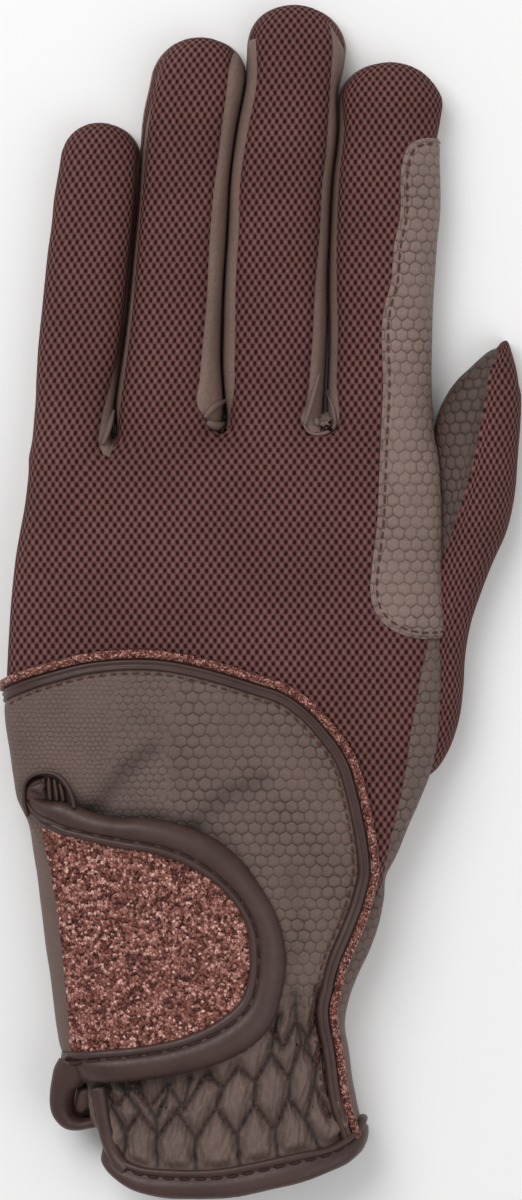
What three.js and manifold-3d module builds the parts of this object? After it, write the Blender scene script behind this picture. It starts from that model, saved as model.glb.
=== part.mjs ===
import * as THREE from 'three';
import { mergeVertices } from 'three/addons/utils/BufferGeometryUtils.js';
import Module from 'manifold-3d';

// A left-hand riding glove, lying palm down with its fingers towards +Y and
// its thumb towards +X. Lengths are in millimetres, angles in degrees.

// Driving dimensions

const PALM_LENGTH = 139.8; // from the lowest point of the hem to the knuckle line
const KNUCKLE_Y = 20; // where the knuckle line crosses the drawing's own Y axis
const HAND_EASE = 5.6; // slack beside the four fingers at the knuckles
const HAND_HEIGHT = 19; // thickness of the hand as it lies
const HAND_ROUNDNESS = 2.9; // power of the hand's section, 2 is an ellipse
const FINGER_LENGTH = 100; // every finger's length and width are shares of these
const FINGER_WIDTH = 20;
const FINGER_HEIGHT = 12.6;
const FINGER_ROUNDNESS = 2.3;
const FINGER_GAP = 0.5; // between the walls of two fingers
const THUMB_LENGTH = 91;
const THUMB_WIDTH = 18.6;
const THUMB_HEIGHT = 12;
const THUMB_LEAN = 11.2; // away from the hand
const THUMB_INSET = 6; // from the side of the hand to the middle of the thumb's root
const WALL = 1.2; // mesh and leather
const CLEARANCE = 0.3; // between two pieces that are sewn together
const REST_DEPTH = 3; // how far the leather is flattened where it rests
const SEAM_HEIGHT = 4; // of the seam between the palm and the back

const PIPING_WIDTH = 1.7;
const WELT_WIDTH = 2.6;
const TRIM_RISE = 1.5; // how far the piping and the welt stand proud

const PATCH_THICKNESS = 1;
const PATCH_WIDTH = 13;
const PATCH_LENGTH = 100.6;
const PATCH_DROP = 28; // how far the patch reaches below the knuckle line

const TAB_LENGTH = 50.6;
const TAB_WIDTH = 55.6;
const TAB_ROOT_WIDTH = 2.7;
const TAB_ROOT_RISE = 1.2;
const TAB_LOW = 0.35; // share of the hand's height below which no tab reaches
const TAB_THICKNESS = 1.2;
const FASTENER_THICKNESS = 0.8;
const FASTENER_MARGIN = 9;
const BINDING_WIDTH = 6.8;
const BINDING_THICKNESS = 2.6;
const CURL_WIDTH = 2.4; // of the bound edge that curls up at the tab's upper root
const LOOP_REACH = 8; // of the bound edge that loops back below the tab's root
const LOOP_THICKNESS = 3.8;
const HEM_WIDTH = 6;
const SLIT_BINDING_WIDTH = 4;
const HEM_THICKNESS = 1.1;

const GATHER_PITCH = 7.5; // between two puffs of the cuff
const GATHER_RISE = 0.9;
const GATHER_WIDTH = 4.4;

// Fingers, from the little one to the index. Spread is the extra room between
// a finger's root and the one before it; lean is towards the thumb, and bow
// is how far the middle of the finger stands off its straight line. Lengths
// are shares of a finger's length, and the rest of its width.

const FINGERS = [
  { length: 0.762, width: 0.82, lean: 6.2, bow: 0.005, spread: 0 },
  { length: 0.932, width: 0.95, lean: 4.7, bow: -0.01, spread: 0.085 },
  { length: 0.996, width: 0.99, lean: 3.3, bow: -0.055, spread: 0.12 },
  { length: 0.88, width: 1, lean: 1.7, bow: -0.015, spread: 0.135 },
].map(({ length, width, lean, bow, spread }) => ({
  length: length * FINGER_LENGTH,
  width: width * FINGER_WIDTH,
  lean,
  bow: bow * FINGER_WIDTH,
  spread: spread * FINGER_WIDTH,
}));

// How fingers and thumb swell and narrow, as shares of their length, width
// and height. The fingers rise out of the thicker hand at their roots.

const FINGER_SHAPE = [
  { along: -0.18, width: 0.9, height: 1.36 },
  { along: 0.06, width: 0.95, height: 1.26 },
  { along: 0.22, width: 0.97, height: 1.08 },
  { along: 0.4, width: 0.98, height: 1 },
  { along: 0.65, width: 0.97, height: 0.98 },
  { along: 1, width: 1, height: 0.92 },
];

const THUMB_SHAPE = [
  { along: 0, width: 0.62, height: 0.85 },
  { along: 0.28, width: 0.7, height: 1 },
  { along: 0.5, width: 0.9, height: 1 },
  { along: 0.66, width: 1.04, height: 1 },
  { along: 0.8, width: 0.98, height: 0.98 },
  { along: 1, width: 0.84, height: 0.9 },
];
const THUMB_BOW = -1.4; // how far the middle of the thumb stands off its straight line
const THUMB_ALONG = 0.59; // share of the palm's length at the thumb's root

// The seam between the thumb's leather front and its mesh back, as shares of
// the thumb's length and of its width from the middle.

const THUMB_SEAM = [
  { along: -0.2, across: -0.9 },
  { along: 0.42, across: -0.42 },
  { along: 0.5, across: -0.2 },
  { along: 0.58, across: -0.05 },
  { along: 0.7, across: 0.03 },
  { along: 0.88, across: 0.04 },
  { along: 1.15, across: 0 },
];

// The hand from the hem to the knuckles: along is a share of the palm's
// length, left and right are shares of the hand's width from the drawing's
// middle line, height is a share of the hand's height.

const HAND_SHAPE = [
  { along: -0.06, left: -0.345, right: 0.21, height: 0.86 },
  { along: 0.03, left: -0.345, right: 0.212, height: 0.87 },
  { along: 0.09, left: -0.356, right: 0.226, height: 0.88 },
  { along: 0.14, left: -0.395, right: 0.229, height: 0.88 },
  { along: 0.2, left: -0.452, right: 0.206, height: 0.88 },
  { along: 0.32, left: -0.482, right: 0.224, height: 0.89 },
  { along: 0.393, left: -0.498, right: 0.272, height: 0.91 },
  { along: 0.464, left: -0.511, right: 0.294, height: 0.94 },
  { along: 0.536, left: -0.532, right: 0.34, height: 0.97 },
  { along: 0.607, left: -0.564, right: 0.386, height: 0.99 },
  { along: 0.7, left: -0.583, right: 0.416, height: 1 },
  { along: 0.8, left: -0.577, right: 0.421, height: 1 },
  { along: 1, left: -0.543, right: 0.396, height: 0.95 },
  { along: 1.06, left: -0.532, right: 0.391, height: 0.88 },
];
const KNUCKLE_REACH = 0.1; // share of the palm's length from the knuckles to the crotches
const KNUCKLE_SLANT = 0.1; // rise of the crotch line towards the thumb
const KNUCKLE_ROUND = 0.4; // depth of the rounded end between them, share of a finger's width

// Lines on the back of the hand, as shares of the hand's width across and of
// the palm's length along.

const ARC_LINE = [
  { across: -0.66, along: 0.705 },
  { across: -0.53, along: 0.752 },
  { across: -0.413, along: 0.7725 },
  { across: -0.297, along: 0.779 },
  { across: -0.174, along: 0.771 },
  { across: -0.048, along: 0.75 },
  { across: 0.055, along: 0.732 },
  { across: 0.119, along: 0.702 },
  { across: 0.19, along: 0.648 },
  { across: 0.224, along: 0.594 },
  { across: 0.249, along: 0.515 },
  { across: 0.255, along: 0.462 },
  { across: 0.236, along: 0.412 },
  { across: 0.206, along: 0.364 },
  { across: 0.169, along: 0.298 },
  { across: 0.161, along: 0.262 },
  { across: 0.174, along: 0.205 },
  { across: 0.187, along: 0.148 },
  { across: 0.2, along: 0.06 },
  { across: 0.205, along: -0.04 },
];

const STRIP_LINE = [
  { across: 0.1, along: 0.26 },
  { across: 0.244, along: 0.4 },
  { across: 0.283, along: 0.454 },
  { across: 0.306, along: 0.532 },
  { across: 0.325, along: 0.588 },
  { across: 0.345, along: 0.67 },
  { across: 0.36, along: 0.72 },
  { across: 0.3836, along: 0.8 },
];

const HEM_LINE = [
  { across: -0.42, along: 0.16 },
  { across: -0.374, along: 0.11 },
  { across: -0.365, along: 0.07 },
  { across: -0.34, along: 0.034 },
  { across: -0.297, along: 0.013 },
  { across: -0.233, along: 0 },
  { across: -0.064, along: 0 },
  { across: 0.034, along: 0.013 },
  { across: 0.148, along: 0.034 },
  { across: 0.203, along: 0.055 },
  { across: 0.243, along: 0.085 },
  { across: 0.29, along: 0.14 },
];

const SLIT_LINE = [
  { across: -0.478, along: 0.56 },
  { across: -0.43, along: 0.43 },
  { across: -0.402, along: 0.31 },
  { across: -0.387, along: 0.2 },
  { across: -0.374, along: 0.11 },
  { across: -0.36, along: 0.02 },
];

// Outline of the closure tab from its upper root round to its lower root, as
// shares of its length and width.

const TAB_LINE = [
  { along: -0.15, across: 1.02 },
  { along: 0.08, across: 1 },
  { along: 0.32, across: 0.972 },
  { along: 0.47, across: 0.966 },
  { along: 0.6, across: 0.94 },
  { along: 0.73, across: 0.89 },
  { along: 0.82, across: 0.825 },
  { along: 0.9, across: 0.725 },
  { along: 0.965, across: 0.615 },
  { along: 0.995, across: 0.51 },
  { along: 1, across: 0.42 },
  { along: 0.98, across: 0.31 },
  { along: 0.93, across: 0.215 },
  { along: 0.86, across: 0.14 },
  { along: 0.75, across: 0.08 },
  { along: 0.6, across: 0.04 },
  { along: 0.42, across: 0.015 },
  { along: 0.25, across: 0 },
  { along: 0.1, across: -0.005 },
  { along: -0.1, across: -0.01 },
];
const TAB_ALONG = 0.159; // share of the palm's length at the tab's lower edge
const TAB_ACROSS = -0.521; // share of the hand's width at the tab's root

// The bound edge curls up over the tab's upper root, as shares of the tab.

const CURL_LINE = [
  { along: 0.16, across: 0.955 },
  { along: 0.04, across: 0.985 },
  { along: 0.0, across: 1.04 },
  { along: 0.02, across: 1.1 },
  { along: 0.075, across: 1.125 },
  { along: 0.135, across: 1.095 },
  { along: 0.165, across: 1.03 },
  { along: 0.17, across: 0.95 },
];

// It loops back below the lower root, as shares of its reach from the root's
// corner, and of the hand's height.

const LOOP_LINE = [
  { across: 0.2, along: 0.45, height: 0.6 },
  { across: -0.05, along: -0.05, height: 0.56 },
  { across: -0.1, along: -0.4, height: 0.48 },
  { across: 0.05, along: -0.75, height: 0.42 },
  { across: 0.4, along: -0.95, height: 0.38 },
  { across: 0.75, along: -1, height: 0.36 },
];

// The patch on the index finger: along from its lower end, inset from the
// finger's outer side, as shares of its length and width.

const PATCH_LINE = [
  { along: 0, inset: 0.1 },
  { along: 0, inset: 0.3 },
  { along: 0.012, inset: 0.65 },
  { along: 0.042, inset: 0.91 },
  { along: 0.083, inset: 1.02 },
  { along: 0.137, inset: 1 },
  { along: 0.22, inset: 0.9 },
  { along: 0.33, inset: 0.79 },
  { along: 0.5, inset: 0.74 },
  { along: 0.67, inset: 0.72 },
  { along: 0.71, inset: 0.67 },
  { along: 0.84, inset: 0.59 },
  { along: 0.95, inset: 0.58 },
  { along: 0.97, inset: 0.54 },
  { along: 1, inset: 0.3 },
  { along: 1.005, inset: 0.05 },
];

// How far the leather between two fingers reaches over each of them, as a
// share of a finger's width, and how far it turns round the crotch.

const FOURCHETTES = [
  { name: 'fourchette_little_ring', left: 0.105, right: 0.11 },
  { name: 'fourchette_ring_middle', left: 0.18, right: 0.12 },
  { name: 'fourchette_middle_index', left: 0.14, right: 0.105 },
];
const FOURCHETTE_TURN = 0.25;

// Rows of puffs in the gathered cuff: along and length are shares of the
// palm's length, shift is a share of the pitch.

const GATHERS = [
  { along: 0.078, length: 0.05, shift: 0, lean: 2 },
  { along: 0.13, length: 0.075, shift: 0.5, lean: -7 },
  { along: 0.19, length: 0.085, shift: 0, lean: -9 },
];

// Materials

const meshCloth = { color: 0x5f3d3b, roughness: 0.85, metalness: 0 };
const scaleLeather = { color: 0x6e5d57, roughness: 0.6, metalness: 0 };
const smoothLeather = { color: 0x4e3c39, roughness: 0.45, metalness: 0 };
const glitterCloth = { color: 0x7a4b42, roughness: 0.4, metalness: 0.5 };
const hookTape = { color: 0x2b2320, roughness: 0.9, metalness: 0 };

// Sizes that follow from the driving ones

const HAND_WIDTH = FINGERS.reduce((sum, finger) => sum + finger.width + finger.spread, HAND_EASE);
const HEM_Y = KNUCKLE_Y - PALM_LENGTH;
const CROTCH_Y = KNUCKLE_Y + KNUCKLE_REACH * PALM_LENGTH;
const HALF_GAP = CLEARANCE / 2;
const HEM_RISE = CLEARANCE + HEM_THICKNESS; // of the binding over what it binds
const PATCH_RISE = CLEARANCE + PATCH_THICKNESS;
const PANEL_FLOOR = CLEARANCE + FASTENER_THICKNESS + CLEARANCE;
const PANEL_TOP = PANEL_FLOOR + TAB_THICKNESS;
const BINDING_TOP = CLEARANCE + BINDING_THICKNESS;

const HAND_SIDES = 20; // sides of the hand's section
const FINGER_SIDES = 12;
const FAR = 400; // larger than the glove
const SCRAP_SHARE = 0.01; // of a piece's volume

const wasm = await Module();
wasm.setup();

// Solids

function solidFrom(geometry) {
  const bare = new THREE.BufferGeometry();
  bare.setAttribute('position', geometry.getAttribute('position'));
  if (geometry.index) bare.setIndex(geometry.index);
  const merged = mergeVertices(bare, 1e-5);
  return new wasm.Manifold(new wasm.Mesh({
    numProp: 3,
    vertProperties: new Float32Array(merged.getAttribute('position').array),
    triVerts: new Uint32Array(merged.index.array),
  }));
}

function geometryFrom(solid) {
  const mesh = solid.getMesh();
  const geometry = new THREE.BufferGeometry();
  geometry.setAttribute('position', new THREE.BufferAttribute(mesh.vertProperties, 3));
  geometry.setIndex(new THREE.BufferAttribute(mesh.triVerts, 1));
  return withoutScraps(geometry);
}

// Volume under a geometry's triangle, counted from the origin.
function cornerVolume(position, triangle) {
  const [a, b, c] = triangle.map((i) => new THREE.Vector3().fromBufferAttribute(position, i));
  return a.dot(b.cross(c)) / 6;
}

// The geometry without the loose scraps that a cut leaves along a seam.
function withoutScraps(geometry) {
  const position = geometry.getAttribute('position');
  const index = Array.from(geometry.index.array);
  const triangles = [];
  for (let i = 0; i < index.length; i += 3) triangles.push(index.slice(i, i + 3));
  const owner = Array.from({ length: position.count }, (_, i) => i);
  const find = (i) => {
    let top = i;
    while (owner[top] !== top) top = owner[top];
    owner[i] = top;
    return top;
  };
  triangles.forEach(([a, b, c]) => {
    owner[find(b)] = find(a);
    owner[find(c)] = find(a);
  });
  const volumes = new Map();
  triangles.forEach((triangle) => {
    const body = find(triangle[0]);
    volumes.set(body, (volumes.get(body) ?? 0) + cornerVolume(position, triangle));
  });
  const whole = [...volumes.values()].reduce((sum, volume) => sum + volume);
  const kept = triangles.filter(([a]) => volumes.get(find(a)) > SCRAP_SHARE * whole);
  geometry.setIndex(kept.flat());
  return mergeVertices(geometry);
}

// A closed body through rings of equally many points, with flat ends.
function loft(rings) {
  const count = rings[0].length;
  const points = rings.flat();
  const faces = [];
  for (let r = 0; r + 1 < rings.length; r += 1) {
    for (let i = 0; i < count; i += 1) {
      const a = r * count + i;
      const b = r * count + (i + 1) % count;
      faces.push(a, b + count, b, a, a + count, b + count);
    }
  }
  [0, rings.length - 1].forEach((r) => {
    const middle = new THREE.Vector3();
    rings[r].forEach((point) => middle.addScaledVector(point, 1 / count));
    points.push(middle);
    for (let i = 0; i < count; i += 1) {
      const a = r * count + i;
      const b = r * count + (i + 1) % count;
      if (r === 0) faces.push(points.length - 1, a, b);
      else faces.push(points.length - 1, b, a);
    }
  });
  const geometry = new THREE.BufferGeometry().setFromPoints(points);
  geometry.setIndex(faces);
  return solidFrom(geometry);
}

function slab(low, high) {
  const geometry = new THREE.BoxGeometry(2 * FAR, 2 * FAR, high - low);
  geometry.translate(0, 0, (low + high) / 2);
  return solidFrom(geometry);
}

const above = (z) => slab(z, FAR);
const below = (z) => slab(-FAR, z);

// An upright prism over a flat outline.
function prism(outline) {
  const turnsLeft = THREE.ShapeUtils.area(outline) > 0;
  const shape = new THREE.Shape(turnsLeft ? outline : [...outline].reverse());
  const geometry = new THREE.ExtrudeGeometry(shape, { depth: 2 * FAR, bevelEnabled: false });
  geometry.translate(0, 0, -FAR);
  return solidFrom(geometry);
}

const joined = (solids) => solids.reduce((sum, solid) => sum.add(solid));

// Flat curves

const spot = (point) => new THREE.Vector2(
  point.across * HAND_WIDTH,
  HEM_Y + point.along * PALM_LENGTH,
);

const tabSpot = (point) => new THREE.Vector2(
  TAB_ACROSS * HAND_WIDTH + point.along * TAB_LENGTH,
  HEM_Y + TAB_ALONG * PALM_LENGTH + point.across * TAB_WIDTH,
);

const smooth = (points, pieces) => new THREE.SplineCurve(points).getPoints(pieces);

// The line moved sideways, to its left where the distance is positive.
function beside(line, distance) {
  return line.map((point, i) => {
    const before = line[Math.max(i - 1, 0)];
    const after = line[Math.min(i + 1, line.length - 1)];
    const along = after.clone().sub(before).normalize();
    return new THREE.Vector2(point.x - along.y * distance, point.y + along.x * distance);
  });
}

const ribbon = (line, from, to) => prism([...beside(line, from), ...beside(line, to).reverse()]);

// A row of a table, read between its rows.
function readTable(table, along) {
  let i = 0;
  while (i < table.length - 2 && along > table[i + 1].along) i += 1;
  const [a, b] = [table[i], table[i + 1]];
  const t = (along - a.along) / (b.along - a.along);
  const row = {};
  Object.keys(a).forEach((key) => {
    row[key] = a[key] + (b[key] - a[key]) * t;
  });
  return row;
}

// A section: a rounded outline, wide across, that sinks a little below the
// surface it rests on, where it is cut flat.
function section(sides, power, centre, sideways, halfWidth, height, grow) {
  const half = Math.max(halfWidth + grow, WALL / 2);
  const top = height + grow;
  const bottom = -REST_DEPTH - grow;
  const middle = (top + bottom) / 2;
  const rise = Math.max((top - bottom) / 2, WALL / 2);
  const ring = [];
  for (let i = 0; i < sides; i += 1) {
    const angle = (2 * Math.PI * i) / sides;
    const [c, s] = [Math.cos(angle), Math.sin(angle)];
    const across = half * Math.sign(c) * Math.abs(c) ** (2 / power);
    const up = rise * Math.sign(s) * Math.abs(s) ** (2 / power);
    ring.push(new THREE.Vector3(
      centre.x + sideways.x * across,
      centre.y + sideways.y * across,
      middle + up,
    ));
  }
  return ring;
}

// The hand, grown outwards or, where grow is negative, inwards.
function handSolid(grow) {
  const rings = [];
  const addRing = (y, row, slant, squash) => {
    const half = ((row.right - row.left) / 2) * HAND_WIDTH;
    const centre = new THREE.Vector2(((row.left + row.right) / 2) * HAND_WIDTH, y);
    const height = HAND_HEIGHT * row.height;
    const middle = (height - REST_DEPTH) / 2;
    const ring = section(
      HAND_SIDES, HAND_ROUNDNESS, centre, new THREE.Vector2(1, slant), half, height, grow,
    );
    ring.forEach((point) => {
      point.z = middle + (point.z - middle) * squash;
    });
    rings.push(ring);
  };
  HAND_SHAPE.forEach((row) => {
    const turn = THREE.MathUtils.clamp((row.along - 0.85) / 0.15, 0, 1);
    addRing(HEM_Y + row.along * PALM_LENGTH, row, KNUCKLE_SLANT * turn, 1);
  });
  const last = HAND_SHAPE[HAND_SHAPE.length - 1];
  const depth = KNUCKLE_ROUND * FINGER_WIDTH;
  [0.45, 0.8, 1].forEach((share) => {
    const squash = Math.sqrt(Math.max(1 - share ** 2, 0.02));
    addRing(CROTCH_Y - depth + (depth + grow) * share, last, KNUCKLE_SLANT, squash);
  });
  return loft(rings);
}

// The leaning, slightly bowed middle line of a finger or the thumb.
function middleLine(root, sizes) {
  const angle = THREE.MathUtils.degToRad(sizes.lean);
  const forwards = new THREE.Vector2(Math.sin(angle), Math.cos(angle));
  const sideways = new THREE.Vector2(Math.cos(angle), -Math.sin(angle));
  const at = (distance, across) => {
    const share = THREE.MathUtils.clamp(distance / sizes.length, 0, 1);
    return root.clone()
      .addScaledVector(forwards, distance)
      .addScaledVector(sideways, sizes.bow * Math.sin(Math.PI * share) + across);
  };
  return { at, sideways };
}

// A finger or the thumb, to its round tip.
function digitSolid(root, shape, sizes, grow) {
  const { width, length, height } = sizes;
  const line = middleLine(root, sizes);
  const tipDepth = 0.48 * width;
  const straight = length - tipDepth;
  const rings = [];
  const addRing = (distance, row, wide, tall) => {
    rings.push(section(
      FINGER_SIDES, FINGER_ROUNDNESS, line.at(distance, 0), line.sideways,
      ((width / 2) * row.width + grow) * wide - grow,
      (height * row.height + grow) * tall - grow, grow,
    ));
  };
  const steps = 5;
  for (let i = 0; i < steps; i += 1) {
    const distance = THREE.MathUtils.lerp(shape[0].along * length, straight, i / (steps - 1));
    addRing(distance, readTable(shape, distance / length), 1, 1);
  }
  [0.5, 0.82, 0.98].forEach((share) => {
    const round = (1 - share ** 2.2) ** (1 / 2.2);
    addRing(straight + (tipDepth + grow) * share, readTable(shape, 1), round, 0.42 + 0.58 * round);
  });
  return loft(rings);
}

// The fingers' roots stand side by side along the knuckle line.
const fingerRoots = [];
FINGERS.forEach((finger, i) => {
  const before = FINGERS[i - 1];
  const handEdge = HAND_SHAPE[HAND_SHAPE.length - 2].left * HAND_WIDTH;
  const x = before
    ? fingerRoots[i - 1].x + (before.width + finger.width) / 2 + finger.spread
    : handEdge + finger.width / 2;
  fingerRoots.push(new THREE.Vector2(x, KNUCKLE_Y));
});

function fingerSolid(i, grow) {
  const width = FINGERS[i].width - FINGER_GAP;
  return digitSolid(fingerRoots[i], FINGER_SHAPE, { ...FINGERS[i], width, height: FINGER_HEIGHT }, grow);
}

// Where a finger's side lies at a distance from its root; side is -1 or 1.
function fingerSide(i, side, distance) {
  const finger = FINGERS[i];
  const half = (finger.width / 2) * readTable(FINGER_SHAPE, distance / finger.length).width;
  return middleLine(fingerRoots[i], finger).at(distance, side * half);
}

const thumbRoot = new THREE.Vector2(
  readTable(HAND_SHAPE, THUMB_ALONG).right * HAND_WIDTH - THUMB_INSET,
  HEM_Y + THUMB_ALONG * PALM_LENGTH,
);
const thumbSizes = {
  width: THUMB_WIDTH,
  length: THUMB_LENGTH,
  height: THUMB_HEIGHT,
  lean: THUMB_LEAN,
  bow: THUMB_BOW,
};
const thumbSolid = (grow) => digitSolid(thumbRoot, THUMB_SHAPE, thumbSizes, grow);

const handAndFingers = (grow) => joined([
  handSolid(grow),
  ...FINGERS.map((finger, i) => fingerSolid(i, grow)),
]);

// A sheet that lies on the glove between two heights over its surface.
const layer = (low, high) => handAndFingers(high).subtract(handAndFingers(low)).intersect(above(0));

// Outlines

const arc = smooth(ARC_LINE.map(spot), 22);
const hem = smooth(HEM_LINE.map(spot), 15);
const slit = smooth(SLIT_LINE.map(spot), 7);
const strip = smooth(STRIP_LINE.map(spot), 9);
const tabEdge = smooth(TAB_LINE.map(tabSpot), 20);

const corner = (x, y) => new THREE.Vector2(x, y);

// Everything on the wrist's side of the arc.
function insideArc(distance) {
  const line = beside(arc, distance);
  return prism([...line, corner(-FAR, -FAR), corner(-FAR, line[0].y)]);
}

// Everything above the hem.
function aboveHem(distance) {
  const line = beside(hem, distance);
  const last = line[line.length - 1];
  return prism([
    ...line, corner(FAR, last.y), corner(FAR, FAR), corner(-FAR, FAR), corner(-FAR, line[0].y),
  ]);
}

// Everything on the little finger's side of the slit, up to the tab's root.
function besideSlit(distance) {
  const line = beside(slit, distance);
  const [first, last] = [line[0], line[line.length - 1]];
  first.y += Math.sign(distance) * HALF_GAP;
  return prism([...line, corner(-FAR, last.y), corner(-FAR, first.y)]);
}

// Everything on the thumb's side of the strip's seam, below the patch.
function besideStrip(distance) {
  const line = beside(strip, distance);
  const last = line[line.length - 1];
  return prism([
    ...line, corner(FAR, last.y + distance), corner(FAR, -FAR), corner(line[0].x, -FAR),
  ]);
}

// Everything beyond a line that runs inside the hand's little-finger edge.
function besideEdge(distance) {
  const edge = HAND_SHAPE.map(({ left, along }) => spot({ across: left, along }));
  const line = beside(edge, -distance);
  return prism([...line, corner(-FAR, line[line.length - 1].y), corner(-FAR, line[0].y)]);
}

// The tab's outline, moved inwards by a distance.
const tabPrism = (distance) => prism(beside(tabEdge, -distance));

// The leather between two neighbouring fingers and round their crotch.
function fourchettePrism(i, spare) {
  const { left, right } = FOURCHETTES[i];
  const reach = Math.min(FINGERS[i].length, FINGERS[i + 1].length);
  const start = CROTCH_Y - KNUCKLE_Y - FOURCHETTE_TURN * FINGER_WIDTH;
  const end = 0.97 * reach;
  const steps = 5;
  const [leftLine, rightLine] = [[], []];
  for (let k = 0; k < steps; k += 1) {
    const distance = THREE.MathUtils.lerp(start - spare, end + spare, k / (steps - 1));
    const share = k === 0 ? 0.8 : 1;
    const over = share * FINGER_WIDTH;
    leftLine.push(fingerSide(i, 1, distance).add(corner(-left * over - spare, 0)));
    rightLine.push(fingerSide(i + 1, -1, distance).add(corner(right * over + spare, 0)));
  }
  return prism([...leftLine, ...rightLine.reverse()]);
}

const fourchettePrisms = (spare) => joined(FOURCHETTES.map((row, i) => fourchettePrism(i, spare)));

const patchLine = PATCH_LINE.map(({ along, inset }) => {
  const distance = along * PATCH_LENGTH - PATCH_DROP;
  return fingerSide(3, 1, distance).add(corner(-inset * PATCH_WIDTH, 0));
});

function patchPrism() {
  const [first, last] = [patchLine[0], patchLine[patchLine.length - 1]];
  return prism([corner(FAR, first.y), ...patchLine, corner(FAR, last.y)]);
}

// The walls of the hand and fingers, and of the thumb

const hollow = handAndFingers(-WALL).intersect(above(WALL));
const thumbHollow = thumbSolid(-WALL).intersect(above(WALL));

const walls = handAndFingers(0)
  .intersect(above(0))
  .intersect(aboveHem(HEM_RISE))
  .subtract(hollow)
  .subtract(thumbHollow);

const backHalf = walls.intersect(above(SEAM_HEIGHT + HALF_GAP));

const thumbWalls = thumbSolid(0)
  .intersect(above(0))
  .subtract(thumbHollow)
  .subtract(handAndFingers(CLEARANCE));

const thumbMiddle = middleLine(thumbRoot, thumbSizes);
const thumbSeam = smooth(THUMB_SEAM.map(({ along, across }) => (
  thumbMiddle.at(along * THUMB_LENGTH, across * THUMB_WIDTH)
)), 12);

function thumbFront(distance) {
  const line = beside(thumbSeam, distance);
  return prism([...line, corner(-FAR, line[line.length - 1].y), corner(-FAR, line[0].y)]);
}

// Height of the hand's back at a point.
function backHeight(x, y) {
  const row = readTable(HAND_SHAPE, (y - HEM_Y) / PALM_LENGTH);
  const half = ((row.right - row.left) / 2) * HAND_WIDTH;
  const across = Math.min(Math.abs(x - ((row.left + row.right) / 2) * HAND_WIDTH) / half, 1);
  const height = HAND_HEIGHT * row.height;
  const rise = (height + REST_DEPTH) / 2;
  return height - rise + rise * (1 - across ** HAND_ROUNDNESS) ** (1 / HAND_ROUNDNESS);
}

// Puffs of the gathered cuff, where no trim lies over them.
function gathers() {
  const puffs = [];
  const [low, high] = [HAND_SHAPE[0].left * HAND_WIDTH, HAND_SHAPE[0].right * HAND_WIDTH];
  GATHERS.forEach(({ along, length, shift, lean }) => {
    for (let x = low + shift * GATHER_PITCH; x < high; x += GATHER_PITCH) {
      const y = HEM_Y + along * PALM_LENGTH;
      const puff = new THREE.SphereGeometry(1, 6, 4);
      puff.rotateX(Math.PI / 2);
      puff.scale(GATHER_WIDTH / 2, (length * PALM_LENGTH) / 2, GATHER_RISE);
      puff.rotateZ(THREE.MathUtils.degToRad(lean));
      puff.translate(x, y, backHeight(x, y));
      puffs.push(solidFrom(puff));
    }
  });
  const trim = PIPING_WIDTH / 2 + CLEARANCE + WELT_WIDTH + CLEARANCE;
  return joined(puffs)
    .intersect(insideArc(-trim))
    .intersect(aboveHem(HEM_WIDTH + CLEARANCE))
    .subtract(besideSlit(SLIT_BINDING_WIDTH + CLEARANCE))
    .subtract(tabPrism(-CLEARANCE))
    .subtract(hollow);
}

// The trim over the walls

const trimStart = PIPING_WIDTH / 2 + CLEARANCE;
const trimZone = aboveHem(HEM_WIDTH + CLEARANCE).intersect(above(SEAM_HEIGHT + HALF_GAP));
const trimLayer = layer(CLEARANCE, CLEARANCE + TRIM_RISE).intersect(trimZone);

const tabZone = above(HAND_HEIGHT * TAB_LOW);
const bindingLayer = layer(CLEARANCE, BINDING_TOP).intersect(tabZone);

// The bound edge below the tab's root, looping back to the slit.
function loopSolid() {
  const root = tabSpot(TAB_LINE[TAB_LINE.length - 2]);
  const points = LOOP_LINE.map(({ across, along, height }) => new THREE.Vector3(
    root.x + across * LOOP_REACH, root.y + along * LOOP_REACH, height * HAND_HEIGHT,
  ));
  const sides = 8;
  const outline = [];
  for (let i = 0; i < sides; i += 1) {
    const angle = (2 * Math.PI * i) / sides;
    outline.push(corner((LOOP_THICKNESS / 2) * Math.cos(angle), (LOOP_THICKNESS / 2) * Math.sin(angle)));
  }
  const geometry = new THREE.ExtrudeGeometry(new THREE.Shape(outline), {
    steps: 10,
    extrudePath: new THREE.CatmullRomCurve3(points),
  });
  return solidFrom(geometry);
}

function tabBinding() {
  const curl = smooth(CURL_LINE.map(tabSpot), 12);
  const band = tabPrism(0)
    .subtract(tabPrism(BINDING_WIDTH))
    .add(ribbon(curl, -CURL_WIDTH / 2, CURL_WIDTH / 2));
  return bindingLayer
    .intersect(band)
    .add(loopSolid().subtract(handAndFingers(CLEARANCE)))
    .subtract(handSolid(HEM_RISE + CLEARANCE).intersect(ribbon(hem, -CLEARANCE, HEM_WIDTH + CLEARANCE)));
}

function tabRoot() {
  const roll = handAndFingers(TAB_ROOT_RISE)
    .intersect(tabPrism(BINDING_WIDTH + CLEARANCE))
    .intersect(besideEdge(TAB_ROOT_WIDTH))
    .intersect(above(HAND_HEIGHT / 2))
    .subtract(hollow);
  return backHalf.intersect(besideSlit(-HALF_GAP)).add(roll);
}

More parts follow.
